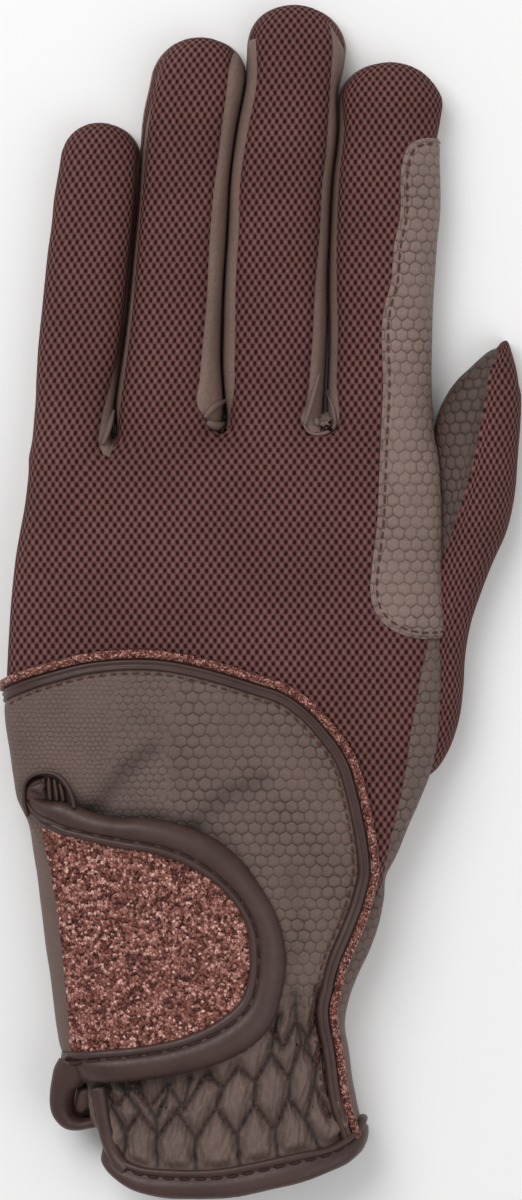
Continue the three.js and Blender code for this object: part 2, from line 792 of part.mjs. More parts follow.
// The binding of the hem, folded over both faces of the walls, and of the
// edge of the slit, up to the tab that covers it.
function cuffBinding() {
  const folds = handSolid(HEM_RISE)
    .subtract(handSolid(-WALL - HEM_RISE).intersect(above(WALL + HEM_RISE)))
    .intersect(above(0));
  const bound = handSolid(CLEARANCE)
    .subtract(handSolid(-WALL - CLEARANCE).intersect(above(WALL + CLEARANCE)));
  const hemFold = folds
    .intersect(ribbon(hem, 0, HEM_WIDTH))
    .subtract(bound.intersect(aboveHem(HEM_THICKNESS)));
  const underTab = tabSpot(TAB_LINE[TAB_LINE.length - 2]).y + BINDING_WIDTH;
  const openSlit = slit.filter((point) => point.y < underTab);
  const slitFold = folds
    .intersect(ribbon(openSlit, HALF_GAP, SLIT_BINDING_WIDTH))
    .intersect(aboveHem(0))
    .intersect(above(SEAM_HEIGHT + HALF_GAP))
    .subtract(bound.subtract(besideSlit(HEM_THICKNESS)))
    .subtract(tabPrism(-CLEARANCE));
  return hemFold.subtract(bound.intersect(besideSlit(HALF_GAP)).intersect(backHalf)).add(slitFold);
}

// Assembly

const bands = fourchettePrisms(HALF_GAP);

const pieces = [
  { name: 'palm', finish: scaleLeather, solid: walls.intersect(below(SEAM_HEIGHT - HALF_GAP)) },
  {
    name: 'back_panel',
    finish: meshCloth,
    solid: backHalf.subtract(insideArc(HALF_GAP)).subtract(besideStrip(HALF_GAP)).subtract(bands),
  },
  ...FOURCHETTES.map(({ name }, i) => ({
    name, finish: scaleLeather, solid: backHalf.intersect(fourchettePrism(i, -HALF_GAP)),
  })),
  { name: 'thumb_palm', finish: scaleLeather, solid: thumbWalls.intersect(thumbFront(HALF_GAP)) },
  { name: 'thumb_back', finish: meshCloth, solid: thumbWalls.subtract(thumbFront(-HALF_GAP)) },
  {
    name: 'side_strip',
    finish: scaleLeather,
    solid: backHalf.intersect(besideStrip(-HALF_GAP)).subtract(insideArc(HALF_GAP)),
  },
  {
    name: 'index_patch',
    finish: scaleLeather,
    solid: layer(CLEARANCE, PATCH_RISE)
      .intersect(patchPrism())
      .intersect(above(SEAM_HEIGHT + HALF_GAP))
      .subtract(thumbSolid(CLEARANCE)),
  },
  {
    name: 'wrist_panel',
    finish: scaleLeather,
    solid: backHalf.intersect(insideArc(-HALF_GAP)).subtract(besideSlit(HEM_RISE)).add(gathers()),
  },
  {
    name: 'piping',
    finish: glitterCloth,
    solid: trimLayer.intersect(ribbon(arc, -PIPING_WIDTH / 2, PIPING_WIDTH / 2)),
  },
  {
    name: 'welt',
    finish: smoothLeather,
    solid: trimLayer.intersect(ribbon(arc, -trimStart - WELT_WIDTH, -trimStart)),
  },
  { name: 'tab_root', finish: scaleLeather, solid: tabRoot() },
  {
    name: 'tab_fastener',
    finish: hookTape,
    solid: layer(CLEARANCE, CLEARANCE + FASTENER_THICKNESS)
      .intersect(tabPrism(FASTENER_MARGIN))
      .subtract(besideSlit(SLIT_BINDING_WIDTH + CLEARANCE))
      .intersect(tabZone),
  },
  {
    name: 'tab_panel',
    finish: glitterCloth,
    solid: layer(PANEL_FLOOR, PANEL_TOP)
      .intersect(tabPrism(BINDING_WIDTH + CLEARANCE))
      .subtract(besideEdge(TAB_ROOT_WIDTH + CLEARANCE))
      .intersect(tabZone),
  },
  { name: 'tab_binding', finish: smoothLeather, solid: tabBinding() },
  { name: 'cuff_binding', finish: smoothLeather, solid: cuffBinding() },
];

const glove = new THREE.Group();
pieces.forEach(({ name, finish, solid }) => {
  const mesh = new THREE.Mesh(geometryFrom(solid), new THREE.MeshStandardMaterial(finish));
  mesh.name = name;
  glove.add(mesh);
});

// The origin is under the middle of the glove, on the surface it lies on.
const bounds = new THREE.Box3().setFromObject(glove);
const middle = bounds.getCenter(new THREE.Vector3());
glove.position.set(-middle.x, -middle.y, -bounds.min.z);

export default glove;
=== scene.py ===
"""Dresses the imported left-hand riding glove in mesh cloth, scale leather,
smooth bound edges and glitter cloth, with its seams, stitches and gathers.

The glove lies palm down with its fingers towards +Y and its thumb towards
+X. Shapes are worked out in millimetres and made in metres.
"""

import functools
import math

import bmesh
import bpy
import numpy as np
from bpy.props import FloatProperty, FloatVectorProperty, PointerProperty
from bpy.types import Operator, Panel, PropertyGroup
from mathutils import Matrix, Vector
from mathutils.bvhtree import BVHTree


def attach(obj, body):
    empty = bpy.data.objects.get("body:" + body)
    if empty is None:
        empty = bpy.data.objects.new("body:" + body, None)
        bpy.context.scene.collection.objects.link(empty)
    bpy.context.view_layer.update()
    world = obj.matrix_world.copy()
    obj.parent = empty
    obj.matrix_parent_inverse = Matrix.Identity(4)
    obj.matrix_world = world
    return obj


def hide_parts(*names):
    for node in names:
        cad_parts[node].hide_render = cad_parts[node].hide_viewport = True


bl_info = {
    "name": "Riding Glove",
    "version": (1, 0, 0),
    "blender": (4, 5, 0),
    "location": "View3D > Sidebar > Glove",
    "description": "Cloth, leather, seams and stitches for a riding glove",
    "category": "Add Mesh",
}

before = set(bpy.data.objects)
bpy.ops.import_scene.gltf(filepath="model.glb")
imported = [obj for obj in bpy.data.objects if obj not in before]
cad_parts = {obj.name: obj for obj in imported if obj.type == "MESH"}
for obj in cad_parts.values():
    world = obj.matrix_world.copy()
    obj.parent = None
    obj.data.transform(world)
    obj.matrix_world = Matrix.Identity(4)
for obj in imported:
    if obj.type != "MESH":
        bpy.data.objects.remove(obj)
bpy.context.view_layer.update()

MM = 0.001
TAU = 2 * math.pi
FAR = 400.0
SHIFT = np.array((1.104, 0.261, 0.0))  # from the drawing's middle to the frame's

# The glove's own shape, as in the part's source: hand and fingers.

PALM_LENGTH = 139.8
KNUCKLE_Y = 20.0
HEM_Y = KNUCKLE_Y - PALM_LENGTH
CROTCH_Y = KNUCKLE_Y + 0.1 * PALM_LENGTH
HAND_WIDTH = 87.6
HAND_HEIGHT = 19.0
REST_DEPTH = 3.0
FINGER_HEIGHT = 12.6
THUMB_HEIGHT = 12.0
HAND_SQUARENESS = 2.9
DIGIT_SQUARENESS = 2.3
SEAM_Z = 4.0  # where the leather below meets the pieces above
TAB_ROOT_END = -95.0
PIPING_END = -107.0

# How finely the skins are made, and how finely they are split beside a seam.

BODY_GRAIN, BODY_EVENING = 0.9, 6
THUMB_GRAIN, THUMB_EVENING = 0.8, 4
SEAM_GRAINS = (0.9, 0.35)
LEAST_HEIGHT = 0.02  # the inner wall stays this far above the resting plane
FINGER_ROOTS = (26.0, 40.0)  # where the hand's outline gives way to the fingers' sides
THUMB_TUCK = 2.4
THUMB_TUCK_ROWS = (-33.0, -38.5)
HEM_WIDTH = 6.5
SLIT_TUCK = 2.0
SLIT_TUCK_ROWS = (-112.5, -108.0)

HAND_SHAPE = np.array([  # along, left, right, height
    (-0.06, -0.345, 0.21, 0.86), (0.03, -0.345, 0.212, 0.87), (0.09, -0.356, 0.226, 0.88),
    (0.14, -0.395, 0.229, 0.88), (0.2, -0.452, 0.206, 0.88), (0.32, -0.482, 0.224, 0.89),
    (0.393, -0.498, 0.272, 0.91), (0.464, -0.511, 0.294, 0.94), (0.536, -0.532, 0.34, 0.97),
    (0.607, -0.564, 0.386, 0.99), (0.7, -0.583, 0.416, 1), (0.8, -0.577, 0.421, 1),
    (1, -0.543, 0.396, 0.95), (1.06, -0.532, 0.391, 0.88),
])
FINGER_SHAPE = np.array([  # along, width, height
    (-0.18, 0.9, 1.36), (0.06, 0.95, 1.26), (0.22, 0.97, 1.08), (0.4, 0.98, 1),
    (0.65, 0.97, 0.98), (1, 1, 0.92),
])
THUMB_SHAPE = np.array([
    (0, 0.62, 0.85), (0.28, 0.7, 1), (0.5, 0.9, 1), (0.66, 1.04, 1), (0.8, 0.98, 0.98),
    (1, 0.84, 0.9),
])
FINGERS = (  # root across, width, length, lean, bow
    (-39.367, 16.4, 76.2, 6.2, 0.1), (-19.967, 19.0, 93.2, 4.7, -0.2),
    (1.833, 19.8, 99.6, 3.3, -1.1), (24.433, 20.0, 88.0, 1.7, -0.3),
)
THUMB = (29.7, 18.6, 91.0, 11.2, -1.4)
THUMB_Y = HEM_Y + 0.59 * PALM_LENGTH

# Where the glove's outline runs, seen from above.

LEFT_SIDE = [
    (-46.0, 34.0), (-46.4, 30.0), (-47.6, 20.0), (-49.2, 10.0), (-50.0, 0.0), (-50.6, -10.0),
    (-50.9, -16.0), (-51.1, -20.0), (-50.8, -25.0), (-50.0, -30.0), (-49.3, -35.0), (-48.4, -40.0),
    (-46.4, -45.0), (-45.6, -50.0), (-44.8, -55.0), (-44.2, -60.0), (-43.6, -65.0), (-43.0, -70.0),
    (-42.2, -75.0), (-41.6, -80.0), (-41.0, -85.0), (-40.0, -90.0), (-37.0, -95.6), (-34.4, -100.4),
    (-32.6, -105.0), (-31.6, -110.0), (-31.2, -115.0), (-31.2, -123.0),
]
RIGHT_SIDE = [
    (33.8, 34.0), (34.4, 30.0), (35.0, 20.0), (35.2, 10.0), (35.8, 0.0), (36.6, -10.0), (36.4, -20.0),
    (35.2, -30.0), (33.8, -35.0), (31.8, -40.0), (29.6, -45.0), (27.6, -50.0), (25.4, -55.0),
    (24.6, -60.0), (23.6, -65.0), (21.8, -70.0), (19.4, -75.0), (17.6, -80.0), (16.8, -85.0),
    (17.6, -90.0), (18.2, -95.0), (19.2, -100.0), (20.0, -105.0), (19.4, -110.0), (18.8, -115.0),
    (18.8, -123.0),
]
FINGER_SIDES = (  # left and right of each finger
    (
        [
            (-39.0, 96.0), (-40.4, 87.0), (-41.4, 81.0), (-42.0, 75.0), (-42.8, 69.0), (-43.4, 63.0),
            (-44.0, 57.0), (-44.6, 51.0), (-45.0, 45.0), (-45.2, 39.0), (-46.0, 33.0), (-46.8, 28.0),
        ],
        [
            (-23.8, 98.0), (-24.14, 91.0), (-24.94, 80.0), (-25.94, 70.0), (-26.94, 59.2),
            (-28.34, 48.0), (-29.74, 37.0), (-31.0, 28.0),
        ],
    ),
    (
        [
            (-20.6, 111.0), (-22.0, 103.4), (-23.2, 98.0), (-23.88, 91.0), (-24.68, 80.0),
            (-25.68, 70.0), (-26.68, 59.2), (-28.08, 48.0), (-29.48, 37.0), (-30.8, 28.0),
        ],
        [
            (-2.2, 112.0), (-3.3, 104.0), (-5.16, 94.0), (-6.44, 84.0), (-6.94, 74.0), (-7.64, 64.0),
            (-8.04, 54.0), (-8.14, 48.0), (-7.6, 40.0), (-7.3, 34.0),
        ],
    ),
    (
        [
            (-2.4, 112.0), (-2.9, 104.0), (-4.76, 94.0), (-6.04, 84.0), (-6.54, 74.0), (-7.16, 64.0),
            (-7.5, 54.0), (-7.6, 48.0), (-7.2, 40.0), (-7.0, 34.0),
        ],
        [
            (16.8, 111.0), (16.4, 107.6), (15.4, 103.0), (15.14, 94.0), (14.04, 84.0), (13.5, 74.0),
            (13.16, 64.0), (13.12, 54.0), (12.92, 48.0), (12.5, 40.0), (12.3, 34.0),
        ],
    ),
    (
        [
            (16.2, 108.0), (15.8, 104.0), (15.7, 94.0), (14.6, 84.0), (14.04, 74.0), (13.76, 64.0),
            (13.8, 54.0), (13.7, 48.0), (13.3, 40.0), (13.0, 34.0),
        ],
        [
            (36.2, 104.0), (36.6, 100.0), (36.0, 96.0), (35.0, 90.0), (35.1, 84.0), (35.1, 78.0),
            (34.5, 72.0), (34.1, 66.0), (33.7, 60.0), (33.5, 54.0), (33.5, 39.0), (33.8, 34.0),
        ],
    ),
)
THUMB_SIDES = (
    [
        (47.8, 52.4), (42.6, 47.4), (38.2, 42.0), (35.8, 36.8), (35.0, 30.0), (34.6, 20.0),
        (33.4, 8.0), (31.8, -4.0), (30.2, -20.0), (28.8, -36.0),
    ],
    [
        (51.6, 52.4), (51.8, 48.0), (52.0, 40.0), (51.4, 30.0), (50.4, 20.0), (48.6, 13.0),
        (46.4, 8.0), (44.0, 1.8), (41.8, -5.0), (40.8, -11.0), (40.4, -18.0), (39.6, -24.0),
        (37.6, -30.0), (34.0, -36.0),
    ],
)

# Seams and edges, seen from above.

ARC = [
    (-51.85, -17.09), (-50.66, -16.69), (-49.57, -16.09), (-46.15, -14.6), (-41.2, -13.11),
    (-35.96, -11.72), (-29.01, -10.83), (-22.65, -10.69), (-17.68, -11.13), (-11.92, -12.32),
    (-6.16, -13.91), (-0.6, -15.69), (4.77, -17.48), (10.33, -21.46), (13.91, -25.43), (16.49, -28.81),
    (18.28, -32.18), (19.59, -36.55), (20.86, -42.12), (21.77, -47.28), (22.15, -54.63),
    (21.26, -58.81), (20.46, -61.79), (19.19, -65.16), (17.88, -68.34), (16.49, -71.52), (15.5, -74.5),
    (14.7, -78.08), (13.99, -81.06), (14.11, -84.63), (14.9, -88.61), (15.5, -93.17), (16.09, -97.74),
    (16.89, -101.32), (18.08, -105.29), (19.07, -109.27), (20.07, -115.23), (20.46, -122.18),
]
HEM = [
    (-38.07, -99.67), (-34.29, -103.85), (-32.69, -106.24), (-31.69, -109.63), (-29.7, -114.02),
    (-25.91, -117.01), (-20.33, -118.6), (-12.96, -118.9), (-5.58, -118.6), (2.99, -116.81),
    (7.57, -115.81), (12.96, -113.82), (17.74, -111.63), (20.93, -108.84), (23.72, -103.65),
    (26.71, -97.67),
]
SLIT = [
    (-48.36, -39.8), (-42.59, -51.74), (-38.41, -71.64), (-36.02, -83.58), (-34.03, -95.52),
    (-33.23, -100.69), (-32.64, -105.67), (-30.85, -111.44), (-28.86, -115.42),
]
STRIP = [
    (21.47, -62.04), (22.67, -60.05), (24.66, -56.07), (25.25, -52.29), (26.64, -45.14),
    (28.33, -37.38), (29.23, -32.21), (30.02, -26.05), (31.22, -19.88), (32.21, -13.92), (33.4, -8.75),
    (33.8, -5.57),
]
PATCH = [
    (41.59, 92.14), (35.02, 92.44), (32.04, 92.14), (29.45, 90.74), (28.66, 89.15), (28.06, 86.76),
    (27.66, 76.42), (26.47, 70.45), (25.67, 62.29), (24.88, 59.7), (24.28, 41.39), (23.48, 25.47),
    (22.89, 13.93), (21.89, 5.77), (21.69, 1.59), (22.29, -1.59), (24.08, -4.38), (27.46, -6.67),
    (32.04, -7.76), (37.41, -7.36), (42.59, -6.37),
]
FOURCHETTES = (  # leather between two fingers: over the one, then over the other
    ([
        (-31.4, 29.3), (-32.0, 31.5), (-31.6, 35.5), (-30.4, 40.5), (-28.4, 47.84), (-26.9, 59.0),
        (-25.71, 69.77), (-24.72, 79.73), (-24.12, 89.7), (-23.32, 95.28),
    ],
     [
         (-19.73, 109.63), (-21.33, 103.65), (-22.52, 97.67), (-23.32, 91.69), (-24.32, 79.73),
         (-25.22, 69.77), (-26.01, 59.0), (-27.31, 47.84), (-28.7, 37.87), (-29.7, 30.9),
         (-30.3, 28.7),
     ]),
    ([
        (-9.37, 34.48), (-10.56, 36.08), (-12.36, 38.47), (-11.96, 44.65), (-10.56, 59.8),
        (-9.97, 71.96), (-9.17, 81.53), (-8.17, 89.1), (-6.98, 98.67), (-5.38, 109.23),
        (-4.19, 112.42),
    ],
     [
         (-1.4, 112.42), (-1.2, 103.65), (-2.99, 93.69), (-4.49, 83.72), (-4.78, 73.75),
         (-5.38, 63.79), (-5.48, 53.82), (-5.58, 47.84), (-5.78, 41.46), (-6.38, 38.27),
         (-6.78, 35.08),
     ]),
    ([
        (9.57, 33.49), (8.17, 35.68), (9.17, 38.87), (10.31, 48.44), (11.16, 62.39), (12.16, 74.55),
        (12.56, 82.72), (13.36, 88.9), (13.75, 95.08), (14.15, 101.26), (14.35, 105.25),
        (14.55, 112.22), (13.95, 115.61),
    ],
     [
         (18.94, 107.64), (16.35, 103.65), (16.15, 93.69), (15.15, 83.72), (14.75, 73.75),
         (14.75, 63.79), (14.95, 53.82), (14.85, 47.84), (14.75, 42.86), (15.15, 38.87),
         (15.15, 35.68), (12.96, 33.49),
     ]),
)
THUMB_SEAM = [
    (47.08, 52.87), (46.88, 48.88), (45.89, 46.48), (44.69, 40.1), (43.49, 33.32), (41.9, 25.94),
    (40.3, 20.55), (38.5, 14.96), (36.31, 9.98), (34.11, 5.99), (31.72, 2.0),
]

TAB_OUTER = [
    (-46.28, -38.0), (-45.14, -38.99), (-43.02, -39.7), (-39.05, -39.98), (-37.06, -40.55), (-33.94, -41.83),
    (-28.91, -42.97), (-21.58, -43.26),
    (-15.25, -44.75), (-8.71, -47.52), (-4.46, -50.98), (-0.2, -56.63), (2.77, -61.78), (4.55, -67.32),
    (4.95, -72.47), (4.16, -78.01), (1.98, -84.55), (-1.39, -88.31), (-5.35, -90.68), (-10.89, -92.86),
    (-17.42, -94.35), (-25.94, -95.63), (-34.45, -96.23), (-39.4, -96.62), (-40.59, -95.83),
]
TAB_INNER = [
    (-47.04, -39.7), (-46.48, -41.69), (-45.0, -43.67), (-42.88, -45.14), (-40.18, -46.22), (-35.64, -47.36),
    (-29.3, -48.91), (-21.58, -50.09), (-15.25, -52.27),
    (-9.7, -55.64), (-5.35, -59.99), (-2.77, -65.14), (-2.18, -70.29), (-2.38, -74.65), (-3.96, -79.4),
    (-8.71, -83.56), (-15.25, -86.62), (-23.76, -88.51), (-32.37, -89.5), (-37.52, -90.09),
    (-39.8, -90.29),
]
TAB_LEFT = [
    (-43.04, -46.21), (-41.45, -53.15), (-39.67, -64.06), (-38.67, -72.59), (-37.78, -83.3),
    (-37.58, -90.44),
]

# The hem's binding from the slit round to the piping: its lower and its upper edge.

HEM_LOWER = [
    (-31.69, -109.63), (-29.7, -114.02), (-25.91, -117.01), (-20.33, -118.6), (-12.96, -118.9),
    (-5.58, -118.6), (2.99, -116.81), (7.57, -115.81), (12.96, -113.82), (17.2, -111.9), (19.6, -109.6),
    (20.4, -107.6),
]
HEM_RING = [
    (-32.4, -106.0), (-30.4, -108.6), (-27.7, -110.8), (-23.68, -112.44), (-17.51, -113.03),
    (-8.26, -112.83), (-0.9, -111.44), (7.16, -109.65), (13.73, -108.26), (18.0, -105.4),
    (20.2, -102.3),
]

# Rows of zigzag stitches in the gathered cuff.

ZIGZAGS = (
    [
        (-29.78, -100.84), (-26.6, -105.6), (-24.22, -102.03), (-20.45, -106.59), (-16.67, -101.63),
        (-12.9, -107.19), (-8.93, -100.84), (-4.96, -106.4), (-1.39, -100.24), (2.78, -105.4),
        (5.36, -99.05), (8.83, -103.42), (10.52, -96.47), (13.7, -102.62),
    ],
    [
        (-31.16, -97.66), (-28.39, -100.64), (-25.8, -96.47), (-22.23, -100.84), (-18.46, -96.47),
        (-15.28, -101.23), (-11.12, -94.68), (-7.54, -96.9), (-4.57, -92.9), (-1.19, -95.78),
        (1.99, -90.32), (5.56, -95.08), (7.94, -88.43), (11.22, -92.9), (12.7, -87.34),
    ],
    [(2.18, -85.36), (4.37, -89.13), (6.95, -83.77), (9.53, -87.34), (11.31, -81.78)],
)

# The left and right edge of the binding beside the slit.

SLIT_EDGE = [
    [
        (-34.37, -96.7), (-33.66, -99.53), (-33.09, -102.37), (-32.24, -105.77), (-31.11, -109.46),
        (-29.69, -112.29), (-27.7, -114.85),
    ],
    [
        (-30.68, -96.7), (-30.4, -99.53), (-30.2, -102.09), (-29.63, -105.2), (-28.56, -108.61),
        (-27.56, -110.45), (-25.44, -112.29),
    ],
]

# Creases of the gathered cuff beside the zigzags, where the leather draws in and gets painted shade.

CREASES = [
    [(-30.77, -97.27), (-28.98, -102.03), (-26.88, -106.79)],
    [(-27.79, -96.67), (-25.8, -99.65), (-24.22, -101.63)],
    [(-24.61, -96.07), (-22.23, -100.84), (-20.84, -103.22), (-20.64, -106.59)],
    [(-16.67, -101.43), (-15.09, -99.65), (-14.09, -95.28)],
    [(-8.93, -100.84), (-7.54, -96.87), (-10.32, -94.09)],
    [(-1.39, -99.85), (-0.99, -96.47)],
    [(5.56, -98.85), (5.76, -94.88)],
    [(10.52, -96.87), (11.12, -92.5)],
    [(-26.8, -106.79), (-27.12, -109.18), (-27.43, -111.16)],
    [(-20.64, -106.59), (-20.84, -109.18), (-20.52, -112.35)],
    [(-12.9, -106.99), (-13.22, -109.57), (-12.9, -112.75)],
    [(-4.76, -106.2), (-4.49, -109.18), (-4.17, -112.35)],
    [(2.78, -105.4), (2.98, -107.98), (3.45, -111.16)],
    [(8.93, -103.42), (10.32, -106.4), (11.71, -109.18)],
    [(3.37, -82.58), (2.78, -85.75), (1.99, -89.33)],
    [(6.75, -78.21), (6.95, -82.97), (7.94, -87.82)],
    [(11.51, -77.42), (11.71, -84.56), (12.82, -88.93), (13.7, -98.06)],
    [(8.73, -86.15), (9.73, -90.52), (11.12, -92.5)],
    [(-18.06, -96.47), (-18.86, -98.85), (-20.64, -102.82)],
]

# Broad soft folds of the wrist, each with its depth, which draws the leather in and also sets painted shade
# along the fold.

WRIST_FOLDS = [
    ([(-34.08, -42.35), (-30.93, -39.4), (-27.38, -34.67), (-21.87, -29.94)], 0.7),
    ([(-13.99, -46.3), (-10.05, -41.76), (-4.92, -37.82), (0.2, -35.85)], 0.5),
    ([(-23.84, -23.64), (-18.91, -26.59), (-15.96, -31.52), (-16.35, -37.43)], 0.25),
    ([(5.71, -55.16), (7.68, -63.04), (6.89, -70.92)], 0.3),
]

# The bound edge that curls up at the tab's upper root.

CURL = [
    (-46.7, -41.97), (-47.13, -39.98), (-47.04, -38.28), (-46.42, -36.3), (-45.57, -35.22),
    (-43.87, -34.43), (-41.88, -34.31), (-40.18, -34.88), (-38.76, -36.3), (-37.77, -38.0),
    (-37.26, -39.98), (-37.01, -41.12),
]
CURL_FLOOR = [
    (-46.7, -39.7), (-46.85, -37.43), (-45.57, -35.59), (-43.73, -34.74), (-41.88, -34.65),
    (-40.32, -35.22), (-38.91, -36.58), (-37.91, -38.28), (-37.49, -40.55), (-41.32, -40.27),
    (-44.15, -39.98),
]
CURL_FOLDS = [
    [(-42.59, -35.22), (-42.79, -36.86), (-42.39, -39.13)],
    [(-41.6, -35.02), (-41.54, -36.86), (-41.32, -39.56)],
    [(-40.61, -35.39), (-40.32, -37.15), (-40.04, -39.7)],
    [(-39.61, -36.3), (-39.1, -37.72), (-38.82, -39.84)],
]
CURL_FLAP = [
    (-46.19, -37.37), (-44.72, -36.52), (-43.07, -36.07), (-42.62, -36.81), (-43.13, -37.66),
    (-42.9, -39.02), (-43.81, -38.34), (-45.14, -37.77),
]

# The bound edge that loops back below the tab's lower root.

LOOP_OUTER = [
    (-40.18, -91.17), (-41.17, -93.01), (-41.66, -95.28), (-42.03, -97.55), (-42.17, -100.38),
    (-41.86, -102.37), (-40.75, -104.35), (-39.05, -105.72), (-36.5, -106.06), (-34.51, -105.72),
    (-32.38, -105.32),
]
LOOP_INNER = [
    (-33.94, -93.86), (-35.64, -96.84), (-36.72, -97.41), (-37.35, -98.68), (-37.57, -100.1),
    (-37.63, -101.52), (-37.29, -102.71), (-36.21, -103.39), (-35.08, -103.5), (-33.94, -103.22),
    (-32.24, -102.65),
]
LOOP_TONGUE = [
    (-36.84, -97.27), (-35.36, -96.7), (-33.38, -96.81), (-33.21, -99.53), (-33.38, -101.23),
    (-34.65, -102.03), (-35.93, -102.82), (-36.84, -102.54), (-37.29, -100.67),
]
LOOP_POCKET = [
    (-38.2, -96.7), (-32.81, -96.41), (-32.24, -104.92), (-34.51, -105.35), (-36.78, -105.2),
    (-38.76, -102.37),
]

# Rolled leather edges where the fingers part, each with its width.

CROTCH_ROLLS = [
    ([(-7.32, 39.84), (-9.49, 38.57), (-11.37, 36.32)], 1.3),
    ([(-10.88, 35.41), (-9.3, 34.62), (-7.52, 34.81)], 1.9),
    ([(11.47, 45.1), (10.09, 39.96), (8.6, 34.81)], 1.0),
    ([
        (8.51, 34.81), (9.3, 33.43), (10.48, 32.93), (13.05, 33.23), (14.74, 34.62), (14.83, 35.8),
        (14.44, 38.37), (13.05, 41.93),
    ], 0.8),
    ([(10.68, 36.0), (11.08, 35.21), (11.57, 34.62)], 1.5),
    ([(11.97, 34.81), (12.86, 36.0), (13.65, 36.99)], 1.8),
    ([(-31.65, 31.05), (-30.66, 34.02), (-29.67, 37.98)], 1.2),
]

# Towards the little finger the wrist's scales shrink: to a share of the pitch,
# between two places across the hand.

WRIST_SCALES = ((0.72, -17.0, -13.0), (0.47, -28.0, -24.0))

# Lines and tables


def through(places, values, at):
    """Values of a smooth curve through points, held level beyond its ends."""
    places, values = np.asarray(places, float), np.asarray(values, float)
    at = np.clip(at, places[0], places[-1])
    slopes = np.gradient(values, places)
    i = np.clip(np.searchsorted(places, at) - 1, 0, len(places) - 2)
    width = places[i + 1] - places[i]
    t = (at - places[i]) / width
    start = (1 + 2 * t) * (1 - t) ** 2 * values[i] + t * (1 - t) ** 2 * width * slopes[i]
    end = t * t * (3 - 2 * t) * values[i + 1] + t * t * (t - 1) * width * slopes[i + 1]
    return start + end


def row_lengths(line):
    """Distance along a line to each of its points."""
    return np.concatenate([[0], np.cumsum(np.linalg.norm(np.diff(line, axis=0), axis=1))])


def resample(line, count):
    """Points spaced equally along a line."""
    line = np.asarray(line, float)
    along = row_lengths(line)
    at = np.linspace(0, along[-1], count)
    return np.stack([np.interp(at, along, line[:, k]) for k in range(line.shape[1])], axis=1)


def smooth_line(points, step=0.5):
    """A smooth line through points, in equal steps."""
    points = np.asarray(points, float)
    along = row_lengths(points)
    fine = np.linspace(0, along[-1], 12 * len(points))
    curve = np.stack([through(along, points[:, k], fine) for k in range(points.shape[1])], axis=1)
    return resample(curve, max(int(row_lengths(curve)[-1] / step) + 1, 3))


def turned(line):
    """The direction to the right of a flat line at each of its points."""
    along = np.gradient(line[:, :2], axis=0)
    along /= np.linalg.norm(along, axis=1)[:, None]
    return np.stack([along[:, 1], -along[:, 0]], axis=1)


def beside(line, distance):
    """A flat line moved to its right."""
    return line + turned(line) * distance


REACH = 6.0  # distances are worked out no further than this


def distance_to(line, points):
    """Distance from each point to a flat line, up to the reach."""
    line = np.asarray(line, float)
    order = np.argsort(points[:, 1])
    sorted_y = points[order, 1]
    best = np.full(len(points), REACH**2)
    for first in range(0, len(line) - 1, 8):
        piece = line[first:first + 9]
        low, high = piece.min(axis=0) - REACH, piece.max(axis=0) + REACH
        rows = order[np.searchsorted(sorted_y, low[1]):np.searchsorted(sorted_y, high[1])]
        near = rows[(points[rows, 0] > low[0]) & (points[rows, 0] < high[0])]
        if not len(near):
            continue
        places, found = points[near], best[near]
        for a, b in zip(piece[:-1], piece[1:]):
            step = b - a
            t = np.clip(((places - a) @ step) / max(step @ step, 1e-12), 0, 1)
            found = np.minimum(found, ((places - a - t[:, None] * step) ** 2).sum(axis=1))
        best[near] = found
    return np.sqrt(best)


def depth_in(outline, points):
    """How far each point lies inside a closed outline, negative outside it."""
    closed = np.vstack([outline, outline[:1]])
    inside = np.zeros(len(points), bool)
    x, y = points[:, 0], points[:, 1]
    for (ax, ay), (bx, by) in zip(closed[:-1], closed[1:]):
        if ay != by:
            crosses = ((ay > y) != (by > y)) & (x < (bx - ax) * (y - ay) / (by - ay) + ax)
            inside ^= crosses
    return distance_to(closed, points) * np.where(inside, 1, -1)


def rise(low, high, values):
    """A smooth step from 0 to 1."""
    t = np.clip((np.asarray(values, float) - low) / (high - low), 0, 1)
    return t * t * (3 - 2 * t)


# Shells


def ring(count, power, centre, sideways, half, top):
    """A rounded section, wide across, that reaches below the resting plane."""
    angle = np.linspace(0, TAU, count, endpoint=False)
    c, s = np.cos(angle), np.sin(angle)
    across = half * np.sign(c) * np.abs(c) ** (2 / power)
    up = (top + REST_DEPTH) / 2 * np.sign(s) * np.abs(s) ** (2 / power)
    return np.stack([
        centre[0] + sideways[0] * across,
        centre[1] + sideways[1] * across,
        (top - REST_DEPTH) / 2 + up,
    ], axis=1)


def loft(rings):
    """Points and faces of a closed body through rings."""
    count, points = len(rings[0]), np.vstack(rings)
    faces = []
    for r in range(len(rings) - 1):
        a = r * count + np.arange(count)
        b = r * count + (np.arange(count) + 1) % count
        faces += np.stack([a, b, b + count, a + count], axis=1).tolist()
    for r in (0, len(rings) - 1):
        a = (r * count + np.arange(count)).tolist()
        faces.append(a[::-1] if r == 0 else a)
    return points, faces


def hand_row(along):
    """Left, right and top of the hand at a share of the palm's length."""
    left, right, height = (through(HAND_SHAPE[:, 0], HAND_SHAPE[:, k], along) for k in (1, 2, 3))
    return left * HAND_WIDTH, right * HAND_WIDTH, height * HAND_HEIGHT


